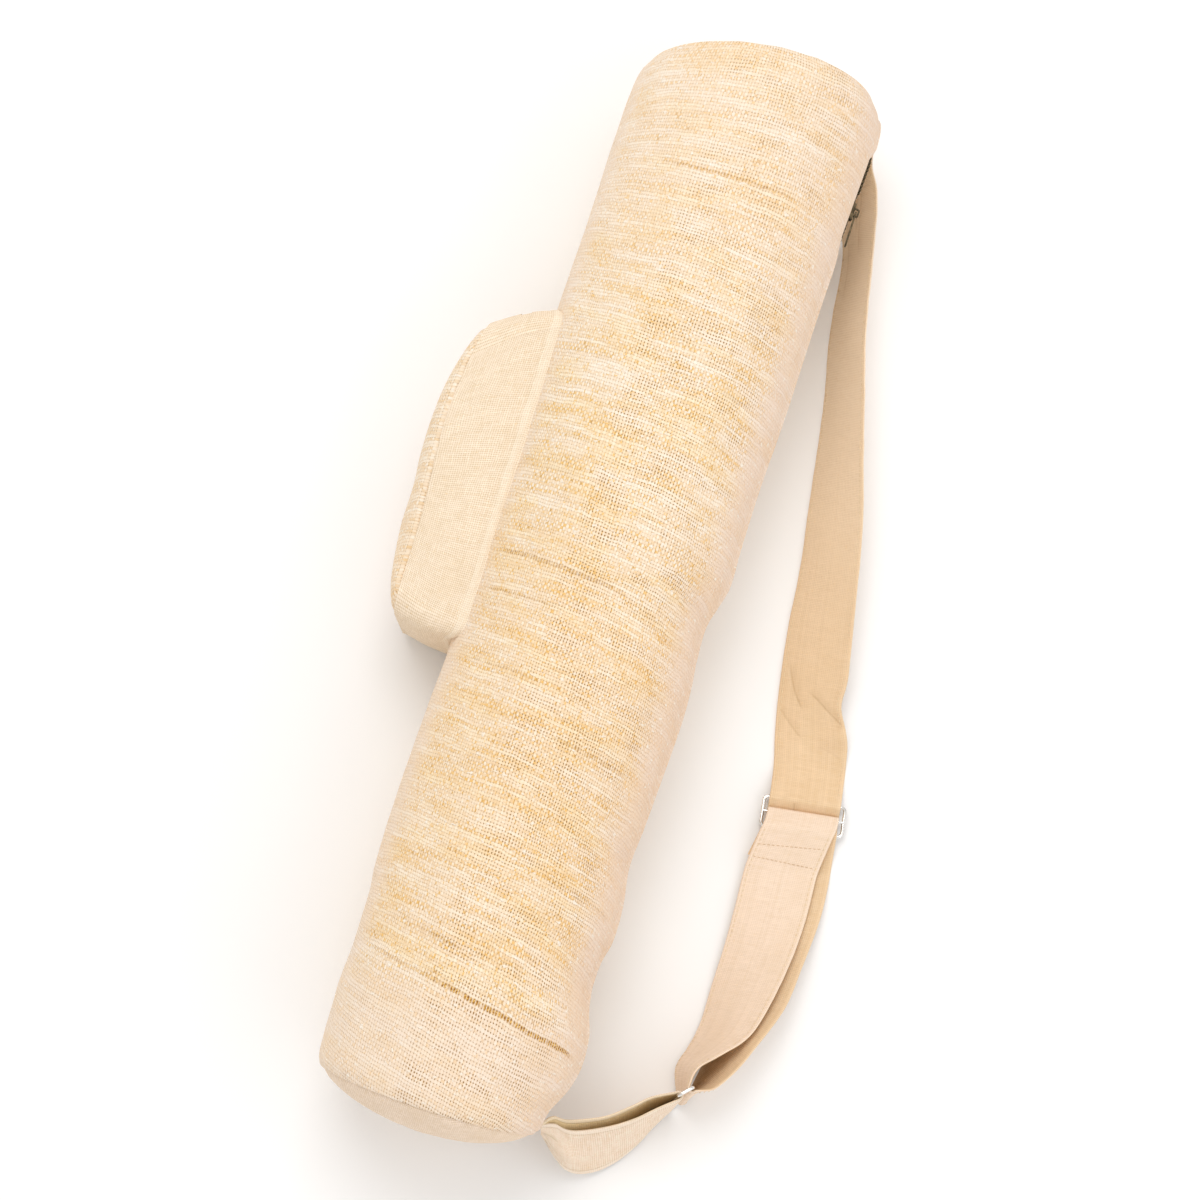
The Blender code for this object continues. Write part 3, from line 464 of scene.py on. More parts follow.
def copies(name, shape, spots):
    """One piece of many copies of a small shape, which is used up. Each spot is the copy's middle and
    where its X, Y and Z point."""
    work = bmesh.new()
    for middle, *directions in spots:
        count = len(work.verts)
        work.from_mesh(shape.data)
        work.verts.ensure_lookup_table()
        matrix = Matrix.Translation(middle) @ Matrix(directions).transposed().to_4x4()
        for vertex in work.verts[count:]:
            vertex.co = matrix @ vertex.co
    mesh = bpy.data.meshes.new(name)
    work.to_mesh(mesh)
    work.free()
    bpy.data.objects.remove(shape)
    return add_object(name, mesh)


# Materials

class Recipe:
    """A material being made: each call adds one node and gives back its output."""

    def __init__(self, name, roughness=0.9, metallic=0.0, sheen=0.0):
        self.material = bpy.data.materials.new(name)
        self.material.use_nodes = True
        self.tree = self.material.node_tree
        self.shader = self.tree.nodes["Principled BSDF"]
        self.shader.inputs["Roughness"].default_value = roughness
        self.shader.inputs["Metallic"].default_value = metallic
        self.shader.inputs["Sheen Weight"].default_value = sheen
        self.shader.inputs["Sheen Roughness"].default_value = 0.5
        self.shader.inputs["Specular IOR Level"].default_value = 0.5 if metallic else 0.15

    def put(self, kind, settings, inputs):
        node = self.tree.nodes.new(kind)
        for key, value in settings.items():
            setattr(node, key, value)
        for key, value in inputs.items():
            if isinstance(value, bpy.types.NodeSocket):
                self.tree.links.new(value, node.inputs[key])
            else:
                node.inputs[key].default_value = value
        return node

    def math(self, operation, *values):
        return self.put("ShaderNodeMath", {"operation": operation}, dict(enumerate(values))).outputs[0]

    def add(self, *values):
        return self.math("ADD", *values)

    def less(self, *values):
        return self.math("SUBTRACT", *values)

    def times(self, *values):
        return self.math("MULTIPLY", *values)

    def scaled(self, value, factor, offset):
        return self.math("MULTIPLY_ADD", value, factor, offset)

    def most(self, *values):
        return self.math("MAXIMUM", *values)

    def size_of(self, value):
        return self.math("ABSOLUTE", value)

    def whole(self, value):
        return self.math("FLOOR", value)

    def part(self, value):
        return self.math("FRACT", value)

    def step(self, value, low, high, start=0.0, stop=1.0):
        """A soft step from start to stop while the value goes from low to high."""
        inputs = {"Value": value, "From Min": low, "From Max": high, "To Min": start, "To Max": stop}
        node = self.put("ShaderNodeMapRange", {"interpolation_type": "SMOOTHSTEP"}, inputs)
        return node.outputs["Result"]

    def flat_noise(self, x, size_x, y, size_y, detail=1.0, roughness=0.5):
        """Noise of about 0 to 1 at a flat place, with blotches of a size along x and along y."""
        spot = {"X": self.times(x, 1 / size_x), "Y": self.times(y, 1 / size_y)}
        place = self.put("ShaderNodeCombineXYZ", {}, spot).outputs[0]
        inputs = {"Vector": place, "Scale": 1.0, "Detail": detail, "Roughness": roughness}
        return self.put("ShaderNodeTexNoise", {"noise_dimensions": "2D"}, inputs).outputs[0]

    def solid_noise(self, size, detail=2.0):
        """Noise of about 0 to 1 in the piece's own space, with blotches of a size in metres."""
        place = self.put("ShaderNodeTexCoord", {}, {}).outputs["Object"]
        inputs = {"Vector": place, "Scale": 1.0 / size, "Detail": detail, "Roughness": 0.5}
        return self.put("ShaderNodeTexNoise", {}, inputs).outputs[0]

    def mix(self, share, first, second, blend="MIX"):
        settings = {"data_type": "RGBA", "blend_type": blend}
        node = self.put("ShaderNodeMix", settings, {0: share, 6: self.rgb(first), 7: self.rgb(second)})
        return node.outputs[2]

    @staticmethod
    def rgb(colour):
        return (*colour, 1.0) if isinstance(colour, tuple) and len(colour) == 3 else colour

    def palette(self, value, stops):
        """A colour picked from stops of (place, colour)."""
        node = self.put("ShaderNodeValToRGB", {}, {0: value})
        band = node.color_ramp
        while len(band.elements) < len(stops):
            band.elements.new(0.5)
        for element, (place, colour) in zip(band.elements, stops):
            element.position = place
            element.color = self.rgb(colour)
        return node.outputs[0]

    def surface_uv(self):
        node = self.put("ShaderNodeUVMap", {}, {})
        parts = self.put("ShaderNodeSeparateXYZ", {}, {0: node.outputs[0]})
        return parts.outputs[0], parts.outputs[1]

    def finish(self, colour, height=None, relief=0.0003, strength=1.0):
        if isinstance(colour, tuple):
            self.shader.inputs["Base Color"].default_value = self.rgb(colour)
        else:
            self.tree.links.new(colour, self.shader.inputs["Base Color"])
        if height is not None:
            inputs = {"Strength": strength, "Distance": relief, "Height": height}
            bump = self.put("ShaderNodeBump", {}, inputs)
            self.tree.links.new(bump.outputs[0], self.shader.inputs["Normal"])
        return self.material


class Weave:
    """A plain weave over two places on the cloth in metres: side counts the lengthwise threads and
    level the crosswise ones. Each thread's width is a share of its pitch."""

    def __init__(self, mix, side, level, warp_pitch, weft_pitch, warp_wide, weft_wide, loose=None):
        cell_side = mix.times(side, 1 / warp_pitch)
        cell_level = mix.times(level, 1 / weft_pitch)
        self.warp = mix.whole(cell_side)
        self.weft = mix.whole(cell_level)
        self.from_warp = mix.size_of(mix.scaled(mix.part(cell_side), 2.0, -1.0))
        from_weft = mix.size_of(mix.scaled(mix.part(cell_level), 2.0, -1.0))
        warp_own = mix.flat_noise(level, 4 * warp_pitch, self.warp, 1 / 5.31)
        weft_own = mix.flat_noise(side, 6 * weft_pitch, self.weft, 1 / 7.13)
        warp_share = mix.scaled(warp_own, warp_wide[1], warp_wide[0])
        weft_share = mix.scaled(weft_own, weft_wide[1], weft_wide[0])
        if loose is not None:
            warp_share = mix.scaled(loose, -0.14, warp_share)
            weft_share = mix.scaled(loose, -0.14, weft_share)
        beside_warp = mix.step(mix.less(self.from_warp, warp_share), -0.14, 0.16)
        beside_weft = mix.step(mix.less(from_weft, weft_share), -0.14, 0.16)
        self.hole = mix.times(beside_warp, beside_weft)
        self.furrow = mix.most(beside_warp, beside_weft)
        crossing = mix.part(mix.times(mix.add(self.warp, self.weft), 0.5))
        over = mix.math("GREATER_THAN", crossing, 0.25)
        over = mix.times(over, mix.less(1.0, beside_weft))
        self.weft_top = mix.most(over, beside_warp)
        height = mix.less(mix.scaled(self.furrow, -0.35, 1.0), mix.times(self.hole, 0.65))
        self.height = mix.math("MULTIPLY_ADD", self.weft_top, 0.12, height)


def crease(mix, across, along, first, last, bow, width):
    """A crease between two places (across, along), bowed sideways. Gives its sharp line and the soft
    shade on its one side."""
    run = (last[0] - first[0], last[1] - first[1])
    length = math.hypot(*run)
    run = (run[0] / length, run[1] / length)
    far = mix.scaled(across, run[0], mix.scaled(along, run[1], -first[0] * run[0] - first[1] * run[1]))
    off = mix.scaled(across, -run[1], mix.scaled(along, run[0], first[0] * run[1] - first[1] * run[0]))
    share = mix.times(far, 1 / length)
    arch = mix.times(share, mix.less(1.0, share))
    off = mix.scaled(arch, -4.0 * bow, off)
    inside = mix.times(mix.step(share, -0.02, 0.25), mix.step(share, 1.05, 0.80))
    line = mix.times(mix.step(mix.size_of(off), width, 0.0), inside)
    shade = mix.times(mix.step(off, 0.0, width * 0.6), mix.step(off, width * 6.0, 0.0))
    return line, mix.times(shade, inside)


# Dark open lines in the slub cloth, where crosswise threads are missing. along is on the top line,
# in metres; first and last are how far round the bag the line shows
OPEN_LINES = [
    # along, first, last, width, strength
    (-0.2762, -0.040, 0.100, 0.00110, 1.00),
    (-0.2762, -0.090, -0.030, 0.00070, 0.50),
    (-0.2530, -0.050, -0.002, 0.00080, 0.65),
    (0.2732, -0.052, 0.054, 0.00070, 0.55),
    (-0.0042, -0.088, 0.030, 0.00100, 0.62),
    (-0.0298, -0.092, -0.012, 0.00070, 0.50),
    (-0.1077, -0.005, 0.070, 0.00090, 0.62),
    (-0.0790, -0.085, -0.010, 0.00070, 0.40),
    (0.1420, 0.010, 0.080, 0.00060, 0.26),
    (0.0560, -0.100, -0.030, 0.00060, 0.30),
    (-0.1900, 0.020, 0.100, 0.00070, 0.32),
]

WARP_PITCH = 0.00200
WEFT_PITCH = 0.00225
WHITE_THREAD = (0.97, 0.885, 0.76)
CREAM_THREAD = (0.93, 0.785, 0.62)
BEIGE_THREAD = (0.88, 0.70, 0.50)
GOLD_THREAD = (0.89, 0.58, 0.20)
BROWN_THREAD = (0.64, 0.41, 0.18)
WEAVE_SHADOW = (0.34, 0.185, 0.060)
LINE_SHADOW = (0.34, 0.140, 0.020)
LINE_BROWN = (0.62, 0.33, 0.06)


def slub_cloth(name, open_lines=(), hinge=None, openness=1.0, gold=1.0):
    """Handwoven cloth of uneven threads, cream with golden and brown ones, open here and there."""
    mix = Recipe(name, roughness=0.92, sheen=0.04)
    across, along = mix.surface_uv()
    skew = mix.scaled(along, -0.16 / BAG_LENGTH, 0.100)
    straight = mix.add(along, mix.times(across, skew))
    sway = mix.flat_noise(across, 0.060, along, 0.060, 2.0)
    shiver = mix.flat_noise(across, 0.007, along, 0.012, 1.0)
    level = mix.scaled(shiver, 0.0011, mix.scaled(sway, 0.0050, straight))
    side = mix.scaled(mix.flat_noise(along, 0.05, across, 0.03), 0.0030, across)
    side = mix.scaled(mix.flat_noise(along, 0.009, across, 0.006), 0.0008, side)

    flank = mix.most(mix.step(across, 0.056, 0.090), mix.step(across, -0.076, -0.104))
    flank = mix.times(flank, mix.step(mix.size_of(across), 0.115, 0.160, 1.0, 0.35))
    patch = mix.flat_noise(across, 0.036, level, 0.012, 4.0, 0.65)
    loose = mix.step(patch, 0.30, 0.66)
    loose = mix.most(loose, mix.step(along, 0.06, -0.08, 0.0, 0.35))
    # Painted shade from grazing light: toward +X from the hinge the holes are wider and darker than toward
    # -X
    if hinge is not None:
        loose = mix.times(loose, mix.step(across, hinge - 0.005, hinge + 0.004, 0.25, 1.0))
    loose = mix.times(loose, mix.scaled(flank, -0.7, openness))
    cloth = Weave(mix, side, level, WARP_PITCH, WEFT_PITCH, (0.52, 0.50), (0.36, 0.76), loose)

    golden = mix.flat_noise(across, 0.060, level, 0.018, 3.0, 0.6)
    golden = mix.step(golden, 0.38, 0.68, 0.0, gold)
    weft_bit = mix.flat_noise(across, 0.0022, cloth.weft, 1 / 3.77, 2.0, 0.6)
    warp_bit = mix.flat_noise(along, 0.0026, cloth.warp, 1 / 4.19, 2.0, 0.6)
    weft_long = mix.flat_noise(across, 0.040, cloth.weft, 1 / 9.31, 1.0)
    weft_band = mix.flat_noise(across, 0.090, cloth.weft, 1 / 0.46, 2.0)
    weft_tone = mix.scaled(weft_long, 0.72, mix.scaled(weft_band, 0.60, -0.160))
    weft_colour = mix.palette(weft_tone, [(0.34, WHITE_THREAD), (0.46, CREAM_THREAD), (0.58, BEIGE_THREAD),
                                          (0.72, (0.86, 0.62, 0.34))])
    fleck = mix.scaled(weft_tone, 0.30, mix.scaled(golden, 0.035, weft_bit))
    weft_colour = mix.mix(mix.step(fleck, 0.73, 0.82, 0.0, 0.85 * gold), weft_colour, GOLD_THREAD)
    weft_colour = mix.mix(mix.step(fleck, 0.84, 0.92, 0.0, gold), weft_colour, BROWN_THREAD)
    warp_tone = mix.scaled(golden, 0.03, warp_bit)
    warp_colour = mix.palette(warp_tone, [(0.34, WHITE_THREAD), (0.56, CREAM_THREAD), (0.66, BEIGE_THREAD)])
    warp_colour = mix.mix(mix.step(warp_tone, 0.68, 0.76, 0.0, 0.8 * gold), warp_colour, GOLD_THREAD)
    colour = mix.mix(cloth.weft_top, warp_colour, weft_colour)
    colour = mix.mix(mix.times(golden, 0.62), colour, (1.0, 0.92, 0.71), "MULTIPLY")
    lower = mix.step(along, 0.10, -0.06)
    lower = mix.times(lower, mix.step(along, -0.268, -0.250))
    colour = mix.mix(mix.times(lower, 0.50), colour, (0.98, 0.90, 0.80), "MULTIPLY")

    # Painted shade: the flanks, where the bag curves away, take a rosy tone, and the +X side is painted a
    # little darker. The top stretch and the foot below the lowest open line take the rosy tone too.
    rose = mix.most(flank, mix.step(along, 0.10, 0.30, 0.0, 0.5))
    rose = mix.most(rose, mix.step(along, -0.265, -0.285, 0.0, 0.9))
    colour = mix.mix(mix.times(rose, 0.60), colour, (0.90, 0.75, 0.635))
    shaded = mix.step(across, 0.02, 0.10)
    colour = mix.mix(shaded, colour, (0.97, 0.93, 0.93), "MULTIPLY")

    nub = mix.flat_noise(across, 0.0055, level, 0.0034, 1.0)
    nub = mix.step(nub, 0.70, 0.78)
    colour = mix.mix(mix.times(nub, 0.8), colour, (0.97, 0.90, 0.80))

    # Painted shade in the holes and furrows between threads, weaker on the flanks and toward the top
    depth = mix.times(mix.scaled(loose, 0.66, 0.32), mix.scaled(flank, -0.55, 1.0))
    depth = mix.times(depth, mix.step(along, 0.16, 0.32, 1.0, 0.60))
    dark = mix.times(mix.times(cloth.hole, depth), mix.less(1.0, nub))
    colour = mix.mix(mix.times(cloth.furrow, mix.scaled(flank, -0.10, 0.18)), colour, (0.76, 0.50, 0.26))
    colour = mix.mix(dark, colour, WEAVE_SHADOW)
    height = cloth.height

    lines = None
    wobble = mix.flat_noise(across, 0.0035, along, 0.05, 2.0)
    course = mix.scaled(wobble, 0.0016, level)
    for place, first, last, width, strength in open_lines:
        near = mix.size_of(mix.add(course, -place - 0.0039))
        line = mix.step(near, width * 1.9, width * 0.7)
        line = mix.times(line, mix.step(across, first, first + 0.020))
        line = mix.times(line, mix.step(across, last, last - 0.020, 0.0, strength))
        lines = line if lines is None else mix.most(lines, line)
    if lines is not None:
        broken = mix.flat_noise(across, 0.0045, along, 0.02, 2.0)
        lines = mix.times(lines, mix.step(broken, 0.28, 0.50, 0.25, 1.0))
        hatch = mix.step(cloth.from_warp, 0.15, 0.60, 0.30, 1.0)
        bits = mix.flat_noise(across, 0.0016, along, 0.0012, 1.0)
        line_colour = mix.palette(bits, [(0.36, LINE_SHADOW), (0.54, LINE_BROWN), (0.66, GOLD_THREAD)])
        lines = mix.times(lines, hatch)
        colour = mix.mix(lines, colour, line_colour)
        height = mix.less(height, lines)

    fibre = mix.flat_noise(across, 0.0005, along, 0.0005, 2.0, 0.7)
    tint = mix.palette(fibre, [(0.30, (0.90, 0.87, 0.82)), (0.66, (1.0, 1.0, 1.0))])
    colour = mix.mix(1.0, colour, tint, "MULTIPLY")
    relief = mix.add(mix.add(height, mix.times(fibre, 0.25)), mix.times(nub, 0.6))
    return mix.finish(colour, relief, 0.00042, 0.8)


CANVAS_PITCH = 0.00138


def canvas_cloth(name, base, shadow, flecks=0.30, contrast=0.30, creases=(), strip=0.0, hem=0.0):
    """Plain canvas with a soft even weave and a few golden flecks. strip is the width of a folded
    edge and hem that of the hems along both edges of a band; both are painted paler as a highlight,
    with a painted shade line along their fold."""
    mix = Recipe(name, roughness=0.9, sheen=0.04)
    across, along = mix.surface_uv()
    sway = mix.flat_noise(across, 0.03, along, 0.03, 2.0)
    side = mix.scaled(sway, 0.0024, across)
    level = mix.scaled(sway, 0.0020, along)
    cloth = Weave(mix, side, level, CANVAS_PITCH, CANVAS_PITCH * 1.08, (0.48, 0.44), (0.44, 0.54))
    weft_tone = mix.flat_noise(across, 0.012, cloth.weft, 1 / 3.77, 1.0)
    warp_tone = mix.flat_noise(along, 0.012, cloth.warp, 1 / 4.3, 1.0)
    tone = mix.math("MULTIPLY_ADD", cloth.weft_top, mix.less(weft_tone, warp_tone), warp_tone)
    lighter = tuple(min(0.97, part * 1.07) for part in base)
    darker = tuple(part * share for part, share in zip(base, (0.95, 0.92, 0.86)))
    colour = mix.palette(tone, [(0.32, lighter), (0.50, base), (0.72, darker)])
    cloud = mix.flat_noise(across, 0.03, along, 0.03, 3.0)
    colour = mix.mix(mix.step(cloud, 0.45, 0.75, 0.0, 0.4), colour, darker)
    fleck = mix.flat_noise(across, 0.0030, along, 0.0016, 1.0)
    colour = mix.mix(mix.step(fleck, 0.72, 0.80, 0.0, flecks), colour, GOLD_THREAD)
    colour = mix.mix(mix.times(cloth.furrow, contrast * 0.35), colour, shadow)
    colour = mix.mix(mix.times(cloth.hole, contrast), colour, shadow)
    height = cloth.height
    if strip:
        # Painted highlight on the folded strip, and painted shade along its fold
        wavy = mix.scaled(sway, 0.0040, mix.add(across, -0.0020))
        colour = mix.mix(mix.step(wavy, strip, strip - 0.0014, 0.0, 0.30), colour, (0.96, 0.87, 0.72))
        fold = mix.step(mix.size_of(mix.add(wavy, -strip)), 0.0007, 0.0)
        colour = mix.mix(mix.times(fold, 0.05), colour, shadow)
        height = mix.scaled(fold, -0.6, height)
    if hem:
        # Painted highlight on the hems, and painted shade along their folds
        inward = mix.math("MINIMUM", across, mix.less(STRAP_WIDTH, across))
        colour = mix.mix(mix.step(inward, hem, hem * 0.7, 0.0, 0.45), colour, (0.98, 0.85, 0.71))
        fold = mix.step(mix.size_of(mix.add(inward, -hem)), 0.0007, 0.0)
        colour = mix.mix(mix.times(fold, 0.22), colour, shadow)
        height = mix.scaled(fold, -1.6, height)
    colour, height = creased(mix, across, along, colour, height, creases, shadow)
    fibre = mix.flat_noise(across, 0.0005, along, 0.0005, 2.0, 0.7)
    return mix.finish(colour, mix.add(height, mix.times(fibre, 0.3)), 0.00024, 0.8)


def creased(mix, across, along, colour, height, creases, shadow):
    """Puts creases into a cloth's height, with painted shade along each line and on its one side.
    Each is (first, last, bow, width, strength).
    """
    for first, last, bow, width, strength in creases:
        line, shade = crease(mix, across, along, first, last, bow, width)
        colour = mix.mix(mix.times(shade, strength * 0.45), colour, shadow)
        colour = mix.mix(mix.times(line, strength), colour, shadow)
        height = mix.scaled(line, -3.0 * strength, height)
        height = mix.scaled(shade, -2.0 * strength, height)
    return colour, height


def strap_cloth(name, base, shadow, slub=0.15, painted_light=None, creases=()):
    """Close cotton band with a fine grain, with a painted highlight along its edges. The stretch given for
    painted light, as (from, to, colour), is painted lighter where the bag shades the strap."""
    mix = Recipe(name, roughness=0.88, sheen=0.04)
    across, along = mix.surface_uv()
    sway = mix.flat_noise(across, 0.02, along, 0.03, 2.0)
    side = mix.scaled(sway, 0.0012, across)
    cloth = Weave(mix, side, along, 0.00130, 0.00115, (0.50, 0.44), (0.46, 0.54))
    rib = mix.flat_noise(across, 0.0022, along, 0.30, 2.0)
    bar = mix.flat_noise(across, 0.012, cloth.weft, 1 / 3.3, 1.0)
    tone = mix.add(mix.times(rib, 0.55), mix.times(bar, 0.45))
    lighter = tuple(min(0.96, part * 1.05) for part in base)
    darker = tuple(part * share for part, share in zip(base, (0.96, 0.94, 0.89)))
    colour = mix.palette(tone, [(0.34, lighter), (0.50, base), (0.66, darker)])
    cloud = mix.flat_noise(across, 0.030, along, 0.050, 3.0)
    colour = mix.mix(mix.step(cloud, 0.40, 0.72, 0.0, 0.45), colour, darker)
    # Painted light: a lighter colour over the given stretch, where the bag shades the strap
    if painted_light:
        share = mix.step(along, painted_light[1], painted_light[0])
        colour = mix.mix(share, colour, painted_light[2])
    # Painted highlight along both edges of the band
    edge = mix.size_of(mix.scaled(across, 2.0 / STRAP_WIDTH, -1.0))
    colour = mix.mix(mix.step(edge, 0.90, 1.0, 0.0, 0.6), colour, lighter)
    fleck = mix.flat_noise(across, 0.0016, along, 0.0036, 1.0)
    colour = mix.mix(mix.step(fleck, 0.70, 0.80, 0.0, slub), colour, GOLD_THREAD)
    colour = mix.mix(mix.times(cloth.furrow, 0.16), colour, shadow)
    colour = mix.mix(mix.times(cloth.hole, 0.55), colour, shadow)
    colour, height = creased(mix, across, along, colour, cloth.height, creases, shadow)
    fibre = mix.flat_noise(across, 0.0004, along, 0.0004, 2.0, 0.7)
    return mix.finish(colour, mix.add(height, mix.times(fibre, 0.3)), 0.00020, 0.8)


def bright_wire(name):
    """Nickel-plated wire, polished, with faint drawing marks."""
    mix = Recipe(name, roughness=0.16, metallic=1.0)
    marks = mix.solid_noise(0.0006)
    wide = mix.solid_noise(0.004)
    colour = mix.mix(mix.step(wide, 0.45, 0.75), (0.86, 0.85, 0.83), (0.70, 0.68, 0.64))
    return mix.finish(colour, marks, 0.00003, 0.5)


def dark_brass(name):
    """Aged brass of the zip, darker and lighter in broad blotches."""
    mix = Recipe(name, roughness=0.42, metallic=0.7)
    wide = mix.solid_noise(0.003, 3.0)
    colour = mix.mix(mix.step(wide, 0.35, 0.70), (0.060, 0.045, 0.022), (0.16, 0.12, 0.065))
    return mix.finish(colour, mix.solid_noise(0.0005), 0.00004, 0.6)


def sewing_thread(name, colour):
    mix = Recipe(name, roughness=0.8, sheen=0.1)
    twist = mix.solid_noise(0.0005)
    tone = mix.mix(mix.step(twist, 0.35, 0.70), colour, tuple(part * 0.82 for part in colour))
    return mix.finish(tone, twist, 0.0001, 0.8)


CANVAS_COLOUR = (0.90, 0.73, 0.585)
CANVAS_SHADOW = (0.60, 0.44, 0.24)
TAN_COLOUR = (0.82, 0.61, 0.395)
# Painted light: a lighter tan for the strap's upper stretch, which the bag shades
TAN_PAINTED_LIGHT = (0.97, 0.82, 0.64)
TAN_SHADOW = (0.60, 0.41, 0.23)
# Creases of the tab's outer face, drawn with painted shade
TAB_LINES = [
    # first, last, bow, width, strength
    ((0.0150, 0.000), (0.0190, 0.026), 0.0012, 0.0012, 0.60),
    ((0.0230, 0.004), (0.0400, 0.030), -0.0020, 0.0012, 0.25),
]

slub_body = slub_cloth("slub_cloth_body", OPEN_LINES, hinge=-0.024)
slub_panel = slub_cloth("slub_cloth_pocket", openness=0.35, gold=0.25)
gusset_canvas = canvas_cloth("gusset_canvas", (0.91, 0.765, 0.605), CANVAS_SHADOW, contrast=0.95,
                             strip=SEAM_STRIP)
end_canvas = canvas_cloth("end_canvas", CANVAS_COLOUR, CANVAS_SHADOW, contrast=0.65)
tab_canvas = canvas_cloth("tab_canvas", (0.96, 0.785, 0.645), CANVAS_SHADOW, contrast=0.80,
                          creases=TAB_LINES, hem=0.0042)
tab_inside = canvas_cloth("tab_canvas_inside", (0.80, 0.62, 0.36), (0.50, 0.34, 0.14), flecks=0.2,
                          hem=0.0030)
strap_outer = strap_cloth("strap_canvas_face", (0.89, 0.72, 0.575), (0.66, 0.49, 0.32))
tape_cloth = strap_cloth("zip_tape_cloth", (0.83, 0.68, 0.47), (0.50, 0.36, 0.19))
wire_metal = bright_wire("nickel_wire")
zip_metal = dark_brass("aged_brass")
cream_thread = sewing_thread("cream_thread", (0.86, 0.69, 0.46))
brown_thread = sewing_thread("brown_thread", (0.68, 0.48, 0.29))


# The bag's body

BODY_COLUMNS = 150
BODY_STEP = 0.0025
RIM_STEPS = [0.0, 0.0002, 0.0005, 0.0009, 0.0014, 0.0020, 0.0030, 0.0045]
BEND_STEPS = [-0.006, -0.004, -0.0025, -0.0012, 0.0]
ROLL = 0.0009
SHOULDER = 0.0100
SHOULDER_ROWS = 14
ZIP_RIDGE = 0.0019


def end_point(side, angle, share, lift):
    """A point of an end's domed face. share runs from 0 at its middle to 1 at the rim."""
    edge = TOP_RIM if side > 0 else BASE_RIM
    dome = TOP_DOME if side > 0 else BASE_DOME
    inset = GAP if side > 0 else CLOTH + 2 * GAP
    rim = tube_point(angle, edge, inset)
    opposite = tube_point(angle + math.pi, edge, inset)
    quarter = tube_point(angle + math.pi / 2, edge, inset)
    other = tube_point(angle - math.pi / 2, edge, inset)
    centre = (rim + opposite + quarter + other) / 4
    slack = noise.noise(Vector((math.sin(angle) * 5.0, math.cos(angle) * 5.0, share * 2.5 + side)))
    folds = math.sin(angle * 17.0 + 3.0 * slack) * bell((share - 0.93) / 0.06)
    rise = dome * max(0.0, 1.0 - share ** 2) ** 0.72
    if side > 0:
        rise *= 1.0 + 0.30 * share * math.sin(angle)
    rise += (0.0011 * slack * share + 0.00035 * folds) * ease((1.0 - share) / 0.08)
    return centre.lerp(rim, share) + Vector((0.0, side, 0.0)) * (rise + lift)


def body_rows():
    """Places along the bag, closer together where its lower rim curls in and where it bends over its
    top. The last of them lie past the rim, on the top's shoulder."""
    first = BASE_RIM * BAG_LENGTH
    last = TOP_RIM * BAG_LENGTH
    inner_first = first + RIM_STEPS[-1]
    inner_last = last + BEND_STEPS[0]
    count = round((inner_last - inner_first) / BODY_STEP)
    middle = [lerp(inner_first, inner_last, step / count) for step in range(1, count)]
    over = [SHOULDER * (step / SHOULDER_ROWS) ** 1.7 for step in range(1, SHOULDER_ROWS + 1)]
    return [first + step for step in RIM_STEPS] + middle + [last + step for step in BEND_STEPS + over]


def slot_edges(along):
    """Both edges of the slot for the zip, which draws shut past the zip's ends."""
    past_end = max(ZIP_FIRST - along, along - ZIP_LAST)
    half = lerp(ZIP_SLOT / 2, GAP / 2, ease_between(past_end, 0.002, 0.013)) / BAG_RADIUS
    return ZIP_ANGLE + half, ZIP_ANGLE + math.tau - half


def slider_shown(along, first, full):
    """1 where the zip's slider shows, from full on, and 0 before first and past the slider."""
    return ease_between(along, first, full) * (1.0 - ease_between(along, 0.462, 0.474))


def make_body():
    rows = body_rows()
    top = TOP_RIM * BAG_LENGTH

    def place(column, row):
        y = rows[row]
        along = y / BAG_LENGTH
        first, last = slot_edges(along)
        angle = lerp(first, last, column / (BODY_COLUMNS - 1))
        if y > top:
            over = y - top
            point = end_point(1, angle, 1.0 - over / BAG_RADIUS, 2 * GAP)
            curl = seam_roll(SHOULDER - over, 0.0016)
            return point - Vector((0.0, curl, 0.0))
        to_slot = min(angle - first, last - angle) * BAG_RADIUS
        rise = cloth_rise(angle, along) * ease(to_slot / 0.02)
        to_upper = (last - angle) * BAG_RADIUS
        shown = slider_shown(along, 0.36, 0.40)
        rise += ZIP_RIDGE * bell((to_upper - 0.0032) / 0.0028) * (1.0 - shown)
        rise -= 0.0010 * bell(to_upper / 0.004) * shown
        rise *= ease((y - rows[0]) / 0.004) * ease((top - y) / 0.008)
        return tube_point(angle, along, seam_roll(y - rows[0], ROLL) + seam_roll(to_slot, 0.0012) - rise)

    def lay(column, row):
        first, last = slot_edges(rows[row] / BAG_LENGTH)
        return (lerp(first, last, column / (BODY_COLUMNS - 1)) - math.tau) * BAG_RADIUS, rows[row]

    piece = grid_cloth("bag_body", BODY_COLUMNS, len(rows), place, lay)
    finish_sheet(piece, BAG_MIDDLE, CLOTH, slub_body, "slub_cloth", "body_tube")


# The two ends

END_COLUMNS = 121


